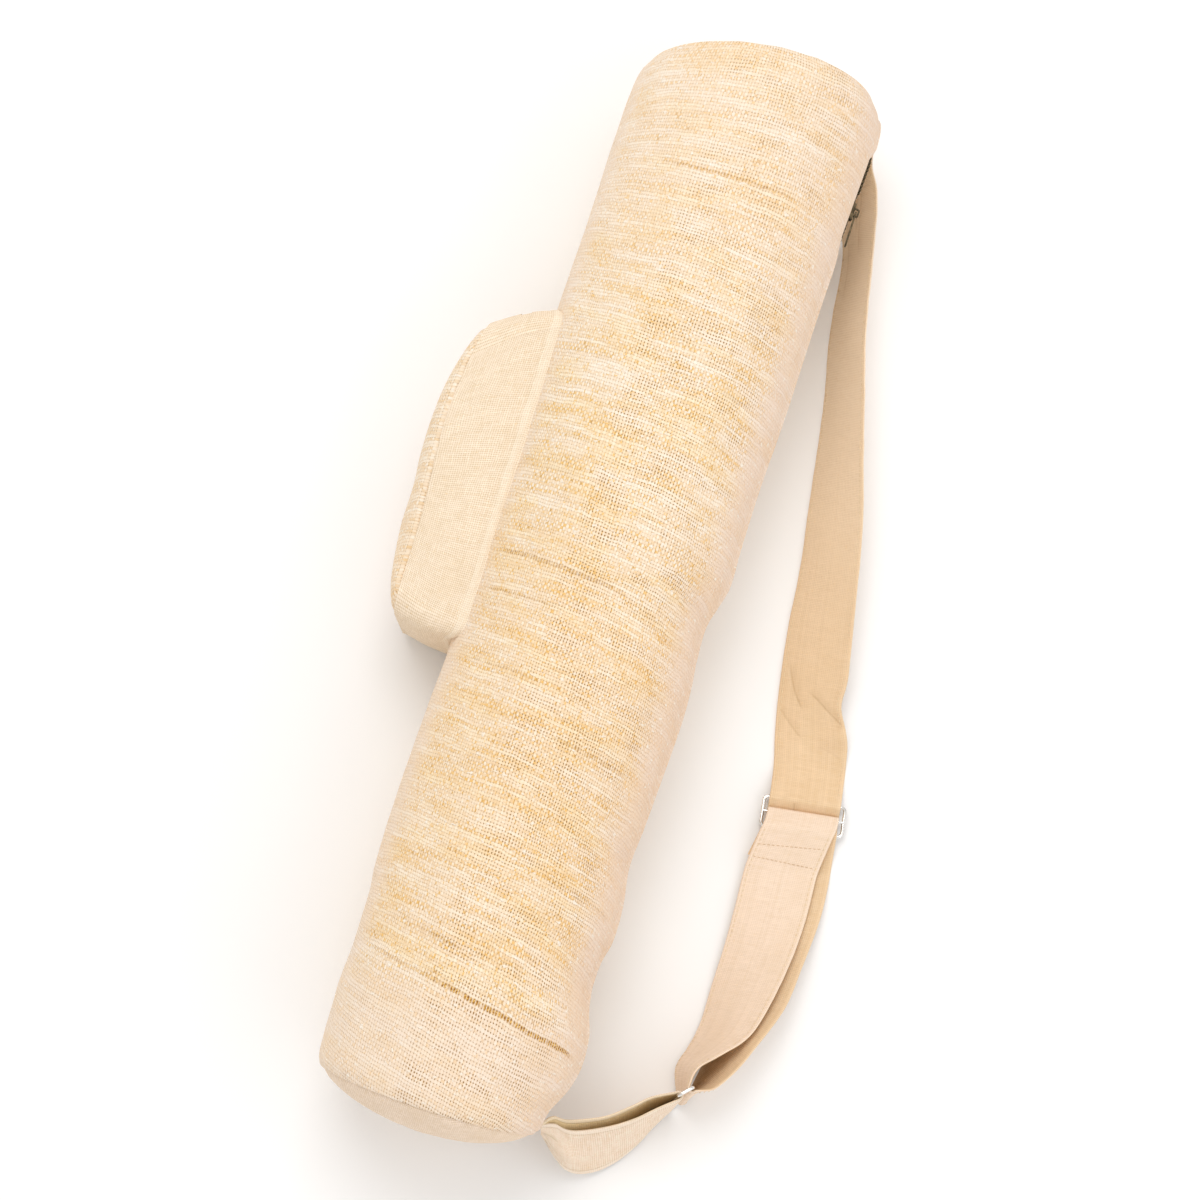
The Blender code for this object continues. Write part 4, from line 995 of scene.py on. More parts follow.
def make_end(name, side, edge_share, node):
    """A round canvas end with a rounded seam edge and soft radial slack. side is +1 at the top."""
    shares = [edge_share * share for share in (1.0, 0.997, 0.991, 0.982, 0.970, 0.955)]
    shares += [0.93 * edge_share * (1.0 - step / 22) for step in range(23)]
    lifts = [0.0] * len(shares)
    if side < 0:
        shares = [1.0, 1.0, 1.0] + shares
        lifts = [-0.0014, -0.0010, -0.0005] + lifts

    def place(column, row):
        turn = math.tau * column / (END_COLUMNS - 1)
        share = shares[row]
        roll = seam_roll((edge_share - share) * BAG_RADIUS, 0.0007) if side > 0 else 0.0
        return end_point(side, turn, share, lifts[row] - roll)

    def lay(column, row):
        turn = math.tau * column / (END_COLUMNS - 1)
        return math.sin(turn) * shares[row] * BAG_RADIUS, math.cos(turn) * shares[row] * BAG_RADIUS

    piece = grid_cloth(name, END_COLUMNS, len(shares), place, lay)
    close_up(piece)
    inside = Vector((0.0, side * BAG_LENGTH * 0.4, AXIS_HEIGHT))
    finish_sheet(piece, inside, CANVAS * 0.9, end_canvas, "canvas", node)


# The pocket

CORNER_STEPS = 16
LONG_STEPS = 56
SHORT_STEPS = 20
SEAM_CORNERS = (0.014, 0.014, 0.010, 0.010)
POCKET_BOW = 0.0062
PANEL_CORNERS = (0.030, 0.026, 0.014, 0.016)


def rounded_rectangle(low, high, width, radii):
    """Points (along, across) round a rectangle whose corners have the given radii, in the order
    high and near, high and far, low and far, low and near."""
    corners = [
        (high - radii[0], radii[0], 270.0, radii[0]),
        (high - radii[1], width - radii[1], 0.0, radii[1]),
        (low + radii[2], width - radii[2], 90.0, radii[2]),
        (low + radii[3], radii[3], 180.0, radii[3]),
    ]
    points = []
    for index, (along, across, start, radius) in enumerate(corners):
        for step in range(CORNER_STEPS + 1):
            turn = math.radians(start + 90.0 * step / CORNER_STEPS)
            points.append((along + radius * math.cos(turn), across + radius * math.sin(turn)))
        following = corners[(index + 1) % 4]
        turn = math.radians(following[2])
        stop = (following[0] + following[3] * math.cos(turn), following[1] + following[3] * math.sin(turn))
        steps = SHORT_STEPS if index % 2 == 0 else LONG_STEPS
        start_point = points[-1]
        for step in range(1, steps):
            points.append((lerp(start_point[0], stop[0], step / steps),
                           lerp(start_point[1], stop[1], step / steps)))
    return points + points[:1]


def pocket_frame():
    """Upper and lower corner of the pocket's front in the XZ plane, and its outward direction."""
    seam = tube_point(POCKET_UPPER, 0.0)
    fall = POCKET_DEPTH * Vector((math.cos(GUSSET_DROP), 0.0, math.sin(GUSSET_DROP)))
    upper = Vector((seam.x, 0.0, seam.z)) - fall
    foot = tube_point(POCKET_LOWER, 0.0)
    lower = Vector((foot.x - POCKET_DEPTH - PANEL_FOOT_OUT, 0.0, 0.0))
    out = Vector((0.0, 1.0, 0.0)).cross(lower - upper).normalized()
    return upper, lower, -out if out.x > 0.0 else out


def pocket_loops():
    """The pocket's seam on the bag and its seam on the front, point by point."""
    upper, lower, out = pocket_frame()
    width = (lower - upper).length
    on_bag = []
    for along, across in rounded_rectangle(POCKET_BASE, POCKET_TOP, POCKET_ARC, SEAM_CORNERS):
        on_bag.append(tube_point(POCKET_UPPER - across / BAG_RADIUS, along / BAG_LENGTH, -2 * GAP))
    on_front = []
    low = POCKET_BASE + PANEL_BASE_INSET
    flat = rounded_rectangle(low, POCKET_TOP - PANEL_TOP_INSET, width, PANEL_CORNERS)
    for along, across in flat:
        bow = POCKET_BOW * (1.0 - across / width) ** 2 * bell((along - 0.082) / 0.055)
        on_front.append(upper.lerp(lower, across / width) + Vector((0.0, along, 0.0)) + out * bow)
    return on_bag, on_front, flat


def above_floor(point, least=0.0):
    return Vector((point.x, point.y, max(point.z, least)))


def make_gusset():
    """The canvas band round the pocket, with its folded strip along the bag and its mouth."""
    on_bag, on_front, _ = pocket_loops()
    middle = sum(on_bag + on_front, Vector()) / (2 * len(on_bag))
    half = MOUTH_WIDTH / POCKET_DEPTH / 2
    strip = SEAM_STRIP / POCKET_DEPTH
    shares = [-0.02, 0.0, 0.010, 0.025, 0.05, 0.085, strip - 0.006, strip + 0.004, strip + 0.02, 0.17, 0.21,
              0.26, 0.31, 0.36, 0.5 - half - 0.02, 0.5 - half, 0.5 + half, 0.5 + half + 0.02, 0.64, 0.69,
              0.74, 0.79, 0.84, 0.89, 0.93, 0.96, 0.98, 0.992, 1.0]
    lengths = [0.0]
    for before, after in zip(on_bag, on_bag[1:]):
        lengths.append(lengths[-1] + (after - before).length)

    def place(column, row):
        share = shares[row]
        point = on_bag[column].lerp(on_front[column], share)
        away = point - middle
        away.x = 0.0
        away.normalize()
        puff = GUSSET_PUFF * math.sin(math.pi * share)
        folded = 0.0006 * (1.0 - ease_between(share, strip - 0.02, strip + 0.03)) * ease(share / 0.03)
        slack = noise.noise(Vector((point.x * 26.0, point.y * 20.0, point.z * 26.0)))
        corner = bell((point.y - POCKET_TOP + 0.012) / 0.016)
        gather = 0.6 * math.sin(lengths[column] * 300.0) * corner * math.sin(math.pi * max(share, 0.0))
        edge = ease(share / 0.05) * ease((1.0 - share) / 0.05)
        rolled = seam_roll((1.0 - share) * POCKET_DEPTH, 0.0006)
        rise = puff + folded + edge * (0.0013 * slack + 0.0010 * gather) - rolled
        return above_floor(point + away * rise)

    def lay(column, row):
        return shares[row] * POCKET_DEPTH, lengths[column]

    piece = grid_cloth("pocket_band", len(on_bag), len(shares), place, lay)
    close_up(piece)
    first = lengths[CORNER_STEPS - CORNER_STEPS // 4] - MERGE
    last = lengths[CORNER_STEPS + SHORT_STEPS + CORNER_STEPS // 4] + MERGE
    mouth = MOUTH_WIDTH / 2 + MERGE
    uv = piece.data.uv_layers.active.data
    chosen = []
    for polygon in piece.data.polygons:
        spots = [uv[index].uv for index in polygon.loop_indices]
        inside = [first < spot.y < last and abs(spot.x - POCKET_DEPTH / 2) < mouth for spot in spots]
        chosen.append(all(inside))
    bpy.ops.object.mode_set(mode="EDIT")
    bpy.ops.mesh.select_mode(type="FACE")
    bpy.ops.mesh.select_all(action="DESELECT")
    bpy.ops.object.mode_set(mode="OBJECT")
    for polygon, pick in zip(piece.data.polygons, chosen):
        polygon.select = pick
    bpy.ops.object.mode_set(mode="EDIT")
    bpy.ops.mesh.delete(type="FACE")
    bpy.ops.object.mode_set(mode="OBJECT")
    finish_sheet(piece, middle, CANVAS, gusset_canvas, "canvas", "pocket_gusset")


def make_pocket_front():
    """The slub front of the pocket, bulging between its seams."""
    _, rim, flat = pocket_loops()
    _, _, out = pocket_frame()
    shares = [1.0, 0.996, 0.990, 0.982, 0.970] + [0.955 * (1.0 - step / 20) for step in range(21)]
    centre = sum(rim[:-1], Vector()) / (len(rim) - 1)
    middle_along = sum(spot[0] for spot in flat[:-1]) / (len(flat) - 1)
    middle_across = sum(spot[1] for spot in flat[:-1]) / (len(flat) - 1)
    tuck = CANVAS + 2 * GAP

    def place(column, row):
        share = shares[row]
        point = centre.lerp(rim[column], share * (1.0 - tuck / (rim[column] - centre).length))
        rise = POCKET_BULGE * (1.0 - share ** 2) ** 0.6 * (1.0 + 0.18 * bell((point.y - 0.128) / 0.065))
        slack = noise.noise(Vector((point.y * 24.0, point.z * 24.0, 3.0)))
        rise += 0.0012 * slack * ease((1.0 - share) / 0.2)
        return above_floor(point + out * (rise - 0.0012 * ease((share - 0.97) / 0.03)), tuck + 0.0008)

    def lay(column, row):
        along, across = flat[column]
        share = shares[row]
        return lerp(middle_across, across, share), lerp(middle_along, along, share)

    piece = grid_cloth("pocket_front", len(rim), len(shares), place, lay)
    close_up(piece)
    finish_sheet(piece, centre - out * 0.1, CLOTH * 0.9, slub_panel, "slub_cloth", "pocket_panel")


# The strap, its tab and their wire fittings

ARC_STEP = 13.0


def belt(stops):
    """Points of a flat path pulled round circles. Each stop is (x, y, radius, side); side is +1 where
    the circle lies to the right of the path and -1 where it lies to the left."""
    headings = []
    for first, second in zip(stops, stops[1:]):
        dx = second[0] - first[0]
        dy = second[1] - first[1]
        reach = (first[3] * first[2] - second[3] * second[2]) / math.hypot(dx, dy)
        headings.append(math.atan2(dy, dx) - math.asin(reach))
    points = [touch(stops[0], headings[0])]
    heading = headings[0]
    for stop, following in zip(stops[1:-1], headings[1:]):
        turn = math.remainder(following - heading, math.tau)
        if stop[3] < 0 and turn < -0.5:
            turn += math.tau
        if stop[3] > 0 and turn > 0.5:
            turn -= math.tau
        steps = max(1, round(abs(math.degrees(turn)) / ARC_STEP))
        for step in range(steps + 1):
            points.append(touch(stop, heading + turn * step / steps))
        heading = heading + turn
    points.append(touch(stops[-1], heading))
    return points


def touch(stop, heading):
    x, y, radius, side = stop
    return (x - side * radius * math.sin(heading), y + side * radius * math.cos(heading))


def station(low, high, cup=0.0):
    """One line across a band: its lower and upper edge and how far its middle bows out."""
    return (*low, *high, cup)


def straight_station(middle, reach):
    """A station across a middle, along a direction."""
    half = reach * STRAP_WIDTH / 2
    return station(middle - half, middle + half)


def route_station(row):
    along, out, lift, lean, facing = row
    low = Vector((out * BAG_RADIUS, along * BAG_LENGTH, lift * STRAP_WIDTH + STRAP_THICK / 2))
    lean = math.radians(lean)
    facing = math.radians(facing)
    reach = Vector((math.cos(lean) * math.cos(facing), math.cos(lean) * math.sin(facing), math.sin(lean)))
    return station(low, low + reach * STRAP_WIDTH)


def between(before, first, second, after, share):
    """A point of a smooth curve from first to second, with knots set by the distances."""
    def spread(a, b):
        return max(1e-6, math.dist(a, b)) ** 0.5

    t0 = 0.0
    t1 = t0 + spread(before, first)
    t2 = t1 + spread(first, second)
    t3 = t2 + spread(second, after)
    t = lerp(t1, t2, share)
    result = []
    for p0, p1, p2, p3 in zip(before, first, second, after):
        a1 = (t1 - t) / (t1 - t0) * p0 + (t - t0) / (t1 - t0) * p1
        a2 = (t2 - t) / (t2 - t1) * p1 + (t - t1) / (t2 - t1) * p2
        a3 = (t3 - t) / (t3 - t2) * p2 + (t - t2) / (t3 - t2) * p3
        b1 = (t2 - t) / (t2 - t0) * a1 + (t - t0) / (t2 - t0) * a2
        b2 = (t3 - t) / (t3 - t1) * a2 + (t - t1) / (t3 - t1) * a3
        result.append((t2 - t) / (t2 - t1) * b1 + (t - t1) / (t2 - t1) * b2)
    return tuple(result)


def middle_of(row):
    return Vector([(row[k] + row[k + 3]) / 2 for k in range(3)])


def fill_stations(stations, longest):
    """The stations with more of them wherever two lie further apart than longest."""
    filled = [stations[0]]
    for index in range(len(stations) - 1):
        first = stations[index]
        second = stations[index + 1]
        before = stations[index - 1] if index else tuple(2 * a - b for a, b in zip(first, second))
        if index + 2 < len(stations):
            after = stations[index + 2]
        else:
            after = tuple(2 * b - a for a, b in zip(first, second))
        steps = max(1, math.ceil((middle_of(first) - middle_of(second)).length / longest))
        for step in range(1, steps):
            filled.append(between(before, first, second, after, step / steps))
        filled.append(second)
    return filled


def settled(stations):
    """The stations, none of them wider than the strap or below the floor."""
    kept = []
    for row in stations:
        low = Vector(row[0:3])
        high = Vector(row[3:6])
        middle = (low + high) / 2
        half = (high - low).normalized() * min(STRAP_WIDTH, (high - low).length) / 2
        low = middle - half
        high = middle + half
        lift = max(0.0, STRAP_THICK / 2 - min(low.z, high.z))
        low.z += lift
        high.z += lift
        kept.append(station(low, high, row[6]))
    return kept


def slider_frame():
    """Centre of the slider's middle bar, the direction of its bars and of the strap through it."""
    turn = math.radians(SLIDER_TURN)
    centre = Vector((SLIDER_OUT * BAG_RADIUS, SLIDER_ALONG * BAG_LENGTH, SLIDER_Z))
    bars = Vector((math.cos(turn), math.sin(turn), 0.0))
    run = Vector((math.sin(turn), -math.cos(turn), 0.0))
    return centre, bars, run


def slider_stations(points, shifted):
    """Stations on the slider's own flat path, given as (run, height) points."""
    centre, bars, run = slider_frame()
    stations = []
    for distance, height in points:
        shift = -FRONT_SHIFT * STRAP_WIDTH * ease(distance / TAIL_LENGTH) if shifted else 0.0
        middle = Vector((centre.x, centre.y, height)) + run * distance + bars * shift
        stations.append(straight_station(middle, bars))
    return stations


def ring_frame():
    """Centre of the ring, its long direction, and the direction from the tab's bar to the strap's."""
    long_way = Vector((RING_LEAN_OUT, RING_LEAN_ALONG, 1.0)).normalized()
    turn = math.radians(RING_TURN)
    short_way = Vector((math.cos(turn), math.sin(turn), 0.0))
    short_way = (short_way - long_way * short_way.dot(long_way)).normalized()
    foot = Vector((RING_OUT * BAG_RADIUS, RING_ALONG * BAG_LENGTH, WIRE_RADIUS * 2))
    centre = foot + long_way * (FITTING_LENGTH / 2 - WIRE_RADIUS)
    return centre, long_way, short_way


def ring_bar(side):
    """Middle of one long bar of the ring: side +1 for the strap's, -1 for the tab's."""
    centre, _, short_way = ring_frame()
    return centre + short_way * side * (RING_HEIGHT / 2 - WIRE_RADIUS)


def ring_stations(bar, arriving, leaving, side):
    """Stations of a band that is bent round one bar of the ring."""
    _, long_way, _ = ring_frame()
    points = belt([(arriving.x, arriving.y, 0.0, 1), (bar.x, bar.y, BAR_BELT + GAP / 2, side),
                   (leaving.x, leaving.y, 0.0, 1)])
    return [straight_station(Vector((x, y, bar.z)), long_way) for x, y in points[1:-1]]


def strap_stations():
    """The whole strap, from its seam at the top rim to its own sewn end under the front leg."""
    spread = STRAP_WIDTH / 2 / BAG_RADIUS
    bow = STRAP_WIDTH ** 2 / 8 / BAG_RADIUS
    start = []
    for along, off, share in SEAM_ROWS:
        low = tube_point(SEAM_ANGLE + spread, along, -SEAT - off * STRAP_WIDTH)
        high = tube_point(SEAM_ANGLE - spread, along, -SEAT - off * STRAP_WIDTH)
        start.append(station(low, high, bow * share))
    main = [route_station(row) for row in MAIN_ROUTE]
    floor = STRAP_THICK / 2
    slider = belt([(-TAIL_LENGTH, floor, 0.0, 1),
                   (-SLIDER_PITCH, SLIDER_Z, BAR_BELT, 1),
                   (0.0, SLIDER_Z, BAR_BELT + LAYER, -1),
                   (SLIDER_PITCH, SLIDER_Z, BAR_BELT, 1),
                   (TAIL_LENGTH, floor, 0.0, 1)])
    back = [route_station(row) for row in BACK_ROUTE]
    front = [route_station(row) for row in FRONT_ROUTE]
    ring = ring_stations(ring_bar(1), middle_of(back[-1]), middle_of(front[0]), 1)
    returned = belt([(TAIL_LENGTH * 1.12, floor + 2.4 * LAYER, 0.0, 1),
                     (SLIDER_PITCH, SLIDER_Z, BAR_BELT + 2 * LAYER, -1),
                     (0.0, SLIDER_Z, BAR_BELT, -1),
                     (SLIDER_PITCH, SLIDER_Z, BAR_BELT + LAYER, 1),
                     (TAIL_LENGTH * 0.95, floor + 1.25 * LAYER, 0.0, 1)])
    return (start + main + slider_stations(slider, False) + back + ring + front
            + slider_stations(returned, True))


def tab_stations():
    """The doubled tab: out from the base rim, round the ring's bar and back."""
    neck = tube_point(TAB_ANGLE, BASE_RIM + 0.004) + Vector((4 * GAP, 0.0, 0.0))
    bar = ring_bar(-1)
    span = Vector((bar.x - neck.x, bar.y - neck.y, 0.0))
    side = Vector((span.y, -span.x, 0.0))
    foot = Vector((neck.x, neck.y, 0.0))
    outer = []
    inner = []
    for along, side_high, height_high, side_low, height_low, parting in TAB_SECTIONS:
        high = foot + span * along + side * side_high + Vector((0, 0, height_high * STRAP_WIDTH))
        low = foot + span * along + side * side_low + Vector((0, 0, height_low * STRAP_WIDTH))
        outer.append(station(low, high))
        inner.append(station(low - side * parting * 0.7, high - side * parting))
    ring = ring_stations(bar, middle_of(outer[-1]), middle_of(inner[-1]), -1)
    return outer + ring + inner[::-1]


class Band:
    """A woven band's course: where it is, and which way it faces, at any distance along it."""

    def __init__(self, stations):
        self.lows = [Vector(row[0:3]) for row in stations]
        self.highs = [Vector(row[3:6]) for row in stations]
        self.bows = [row[6] for row in stations]
        self.middles = [(low + high) / 2 for low, high in zip(self.lows, self.highs)]
        self.normals = []
        self.distances = [0.0]
        last = len(stations) - 1
        for index, middle in enumerate(self.middles):
            travel = self.middles[min(index + 1, last)] - self.middles[max(index - 1, 0)]
            self.normals.append((self.highs[index] - self.lows[index]).cross(travel).normalized())
            if index:
                self.distances.append(self.distances[-1] + (middle - self.middles[index - 1]).length)
        self.length = self.distances[-1]

    def point(self, index, share, lift):
        bow = self.bows[index] * 4.0 * share * (1.0 - share)
        return self.lows[index].lerp(self.highs[index], share) + self.normals[index] * (bow + lift)

    def at(self, distance, share, lift):
        """The point and the outward direction at a distance along the band."""
        index = 0
        while index < len(self.distances) - 2 and self.distances[index + 1] < distance:
            index += 1
        span = self.distances[index + 1] - self.distances[index]
        part = min(1.0, max(0.0, (distance - self.distances[index]) / span))
        spot = self.point(index, share, lift).lerp(self.point(index + 1, share, lift), part)
        return spot, self.normals[index].lerp(self.normals[index + 1], part).normalized()

    def nearest(self, place, first, last):
        """The distance along the band, between first and last, whose middle lies nearest to a place."""
        spots = zip(self.middles, self.distances)
        return min(((middle - place).length, distance) for middle, distance in spots
                   if first <= distance <= last)[1]


STRAP_STEP = 0.0035
TAB_STEP = 0.0030
EDGE_ROUND = 0.0010
ACROSS = [0.0, 0.002, 0.006, 0.012, 0.021, 0.05, 0.10, 0.17, 0.25, 0.34, 0.42, 0.5]
ACROSS = ACROSS + [1.0 - share for share in reversed(ACROSS[:-1])]


def not_drawn(distance, share):
    return 0.0


def make_band(name, band, rise, materials, node, pull=not_drawn):
    """A woven band with soft selvedges. rise(distance, share) is how far its cloth stands off its course,
    and pull(distance, share) how far it is drawn toward the share 0."""
    outside = [(share, 1.0) for share in ACROSS]
    inside = [(share, -1.0) for share in reversed(ACROSS[1:-1])]
    loop = outside + inside + outside[:1]
    thick = STRAP_THICK / 2

    def place(column, row):
        share, side = loop[column]
        edge = min(share, 1.0 - share) * STRAP_WIDTH
        away = 1.0 - min(1.0, edge / EDGE_ROUND)
        half = thick * math.sqrt(1.0 - away * away)
        lift = side * half + rise(band.distances[row], share)
        share -= pull(band.distances[row], share)
        return above_floor(band.point(row, share, lift), thick - half)

    def lay(column, row):
        share, side = loop[column]
        return share * STRAP_WIDTH if side > 0 else (1.0 - share) * STRAP_WIDTH, band.distances[row]

    piece = grid_cloth(name, len(loop), len(band.distances), place, lay)
    piece.data.materials.clear()
    for material in materials:
        piece.data.materials.append(material)
    turn = len(ACROSS) - 1
    columns = len(loop) - 1
    if len(materials) > 1:
        for index, polygon in enumerate(piece.data.polygons):
            polygon.material_index = 0 if index % columns < turn else 1
    close_up(piece, fill=True)
    smooth(piece, 60.0)
    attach(piece, "bag")
    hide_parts(node)
    return piece


# Creases of the strap: distance is from the slider back toward the top, in metres, share across it,
# both of the crease's middle; then its half length along and across, its depth and its slant
STRAP_CREASES = [
    # before, share, along, across, depth, slant
    (0.060, 0.86, 0.0050, 0.20, -0.0030, 0.012),
    (0.066, 0.80, 0.0060, 0.24, 0.0016, 0.014),
    (0.062, 0.40, 0.0160, 0.06, -0.0013, -0.060),
    (0.056, 0.46, 0.0150, 0.07, 0.0010, -0.060),
    (0.040, 0.22, 0.0120, 0.08, -0.0009, -0.050),
    (0.004, 0.38, 0.0060, 0.02, -0.0006, 0.000),
]


# Sharp creases of the strap's tan face, drawn with painted shade: first and last place as (metres
# before the slider, share across), then bow, width and strength
STRAP_LINES = [
    ((0.106, 0.12), (0.074, 0.38), -0.0022, 0.0012, 0.60),
    ((0.088, 0.40), (0.066, 0.99), 0.0016, 0.0012, 0.60),
    ((0.076, 0.02), (0.055, 0.38), -0.0008, 0.0012, 0.42),
    ((0.052, 0.56), (0.045, 0.92), 0.0010, 0.0014, 0.25),
    ((0.011, 0.34), (0.003, 0.37), 0.0000, 0.0008, 0.60),
    ((0.470, 0.30), (0.400, 0.42), 0.0030, 0.0016, 0.35),
    ((0.440, 0.62), (0.385, 0.52), -0.0020, 0.0014, 0.30),
    ((0.425, 0.12), (0.350, 0.22), 0.0020, 0.0016, 0.25),
]


def strap_pull(before, share):
    """The notch in the strap's outer edge, as a share of its width, at a distance before the slider."""
    notch = 0.085 * bell((before - 0.080) / 0.013) - 0.022 * bell((before - 0.055) / 0.014)
    return notch * ease((share - 0.40) / 0.60)


def make_strap():
    band = Band(settled(fill_stations(strap_stations(), STRAP_STEP)))
    centre, _, _ = slider_frame()
    slider_at = band.nearest(centre, 0.0, band.length / 2 + 0.1)

    def rise(distance, share):
        before = slider_at - distance
        total = 0.0004 * noise.noise(Vector((distance * 40.0, share * 2.0, 1.0)))
        total += 0.0003 * noise.noise(Vector((distance * 110.0, share * 5.0, 4.0)))
        for place, across, length, width, depth, slant in STRAP_CREASES:
            offset = (share - across) / width
            along = (before - place - slant * (share - across)) / length
            if abs(offset) < 2.5 and abs(along) < 2.5:
                total += depth * bell(offset) * bell(along)
        quiet = ease(abs(distance - slider_at) / 0.02) if distance < slider_at else 0.0
        far = ease((distance - slider_at - 0.05) / 0.03) * ease((band.length - 0.06 - distance) / 0.03)
        seam = ease((distance - 0.03) / 0.02)
        return total * seam * max(quiet, far)

    def pull(distance, share):
        return strap_pull(slider_at - distance, share)

    creases = []
    for first, last, bow, width, strength in STRAP_LINES:
        ends = [(STRAP_WIDTH * (1.0 - share), slider_at - before) for before, share in (first, last)]
        creases.append((*ends, bow, width, strength))
    tan_face = strap_cloth("strap_tan_face", TAN_COLOUR, TAN_SHADOW, painted_light=(0.10, 0.42, TAN_PAINTED_LIGHT),
                           creases=creases)
    piece = make_band("shoulder_strap", band, rise, [strap_outer, tan_face], "strap", pull)
    return band, slider_at, pull


def make_tab():
    band = Band(settled(fill_stations(tab_stations(), TAB_STEP)))
    length = band.length

    def rise(distance, share):
        from_neck = min(distance, length - distance)
        pleats = math.sin(share * 15.0) * bell(from_neck / 0.016) * 0.0011
        drag = 0.0008 * math.sin(share * 7.0 + from_neck * 60.0) * bell((from_neck - 0.030) / 0.024)
        if distance < length / 2:
            drag -= 0.0024 * bell((share - 0.42) / 0.20) * bell((from_neck - 0.030) / 0.016)
        return pleats + drag + 0.0004 * noise.noise(Vector((distance * 50.0, share * 3.0, 8.0)))

    piece = make_band("ring_tab", band, rise, [tab_inside, tab_canvas], "strap_tab")
    return band


def rod(name, points, closed):
    """A round wire along points, as a curve made a mesh."""
    curve = bpy.data.curves.new(name, "CURVE")
    curve.dimensions = "3D"
    curve.bevel_depth = WIRE_RADIUS
    curve.bevel_resolution = 5
    curve.use_fill_caps = True
    line = curve.splines.new("POLY")
    line.points.add(len(points) - 1)
    for spot, point in zip(line.points, points):
        spot.co = (*point, 1.0)
    line.use_cyclic_u = closed
    select_only(add_object(name, curve))
    bpy.ops.object.convert(target="MESH")
    piece = bpy.context.object
    piece.name = name
    close_up(piece)
    smooth(piece)
    return piece


def wire_path(centre, long_way, short_way, height):
    """A rectangle with rounded corners, by the middle of its wire."""
    bend = WIRE_RADIUS * 2.2
    path = []
    half_long = FITTING_LENGTH / 2 - WIRE_RADIUS - bend
    half_short = height / 2 - WIRE_RADIUS - bend
    for start, sign_long, sign_short in ((0, 1, 1), (90, -1, 1), (180, -1, -1), (270, 1, -1)):
        for step in range(10):
            turn = math.radians(start + 10.0 * step)
            path.append(centre + long_way * (sign_long * half_long + bend * math.cos(turn))
                        + short_way * (sign_short * half_short + bend * math.sin(turn)))
    return path


def make_fittings():
    """The ring, and the slider with its middle bar."""
    centre, long_way, short_way = ring_frame()
    ring = rod("wire_ring", wire_path(centre, long_way, short_way, RING_HEIGHT), True)
    dress(ring, wire_metal, "bag", "bright_wire", "strap_ring")
    centre, bars, run = slider_frame()
    outer = rod("wire_slider", wire_path(centre, bars, run, SLIDER_HEIGHT), True)
    reach = bars * (FITTING_LENGTH / 2 - WIRE_RADIUS)
    bar = rod("wire_slider_bar", [centre - reach, centre, centre + reach], False)
    dress(outer, wire_metal, "bag", "bright_wire", "strap_slider")
    dress(bar, wire_metal, "bag", "bright_wire")


# Stitches

def make_grain(length, width):
    """One stitch: a short plump grain of thread along X, its back toward +Z."""
    bpy.ops.object.select_all(action="DESELECT")
    bpy.ops.mesh.primitive_uv_sphere_add(segments=8, ring_count=6, radius=0.5)
    grain = bpy.context.object
    grain.data.transform(Matrix.Rotation(math.pi / 2, 4, "Y"))
    grain.data.transform(Matrix.Diagonal((length, width, width, 1.0)))
    return grain


def stitch_row(name, spots, material, length, width):
    """A row of stitches. Each spot is its place, the seam's direction there and the way out."""
    frames = []
    for place, direction, out in spots:
        forward = (direction - out * direction.dot(out)).normalized()
        frames.append((place, forward, out.cross(forward), out))
    piece = copies(name, make_grain(length, width), frames)
    piece.data.shade_smooth()
    dress(piece, material, "bag", "canvas")


EDGE_PITCH = 0.0036
ACROSS_PITCH = 0.0030
ACROSS_FIRST = 0.04
ACROSS_LAST = 0.96
THREAD_LIFT = STRAP_THICK / 2 + 0.00005


def spots_on(curve, length, pitch):
    """Stitch spots at even distances. curve(distance) gives a point and the way out."""
    spots = []
    for step in range(int(length / pitch)):
        distance = (step + 0.5) * pitch
        place, out = curve(distance)
        ahead, _ = curve(distance + pitch * 0.25)
        behind, _ = curve(distance - pitch * 0.25)
        spots.append((place, (ahead - behind).normalized(), out))
    return spots


def stitch_edges(band, name, edge, first, last, side, pull):
    """Stitches along both edges of a band between two distances. side is +1 or -1, for its outer or
    inner face, and pull is how far the band is drawn in, as in make_band."""
    spots = []
    for share in (edge, 1.0 - edge):
        def curve(distance, share=share):
            drawn = share - pull(first + distance, share)
            place, out = band.at(first + distance, drawn, side * THREAD_LIFT)
            return place, out * side
        spots += spots_on(curve, last - first, EDGE_PITCH)
    stitch_row(name, spots, cream_thread, 0.0026, 0.00055)


def stitch_across(band, name, rows, material):
    """Rows of stitches across a band's outer face, each row at a distance and with its slant."""
    spots = []
    for distance, slant in rows:
        def curve(run, distance=distance, slant=slant):
            share = ACROSS_FIRST + run / STRAP_WIDTH
            return band.at(distance + slant * (share - 0.5), share, THREAD_LIFT)
        spots += spots_on(curve, (ACROSS_LAST - ACROSS_FIRST) * STRAP_WIDTH, ACROSS_PITCH)
    stitch_row(name, spots, material, 0.0022, 0.0005)


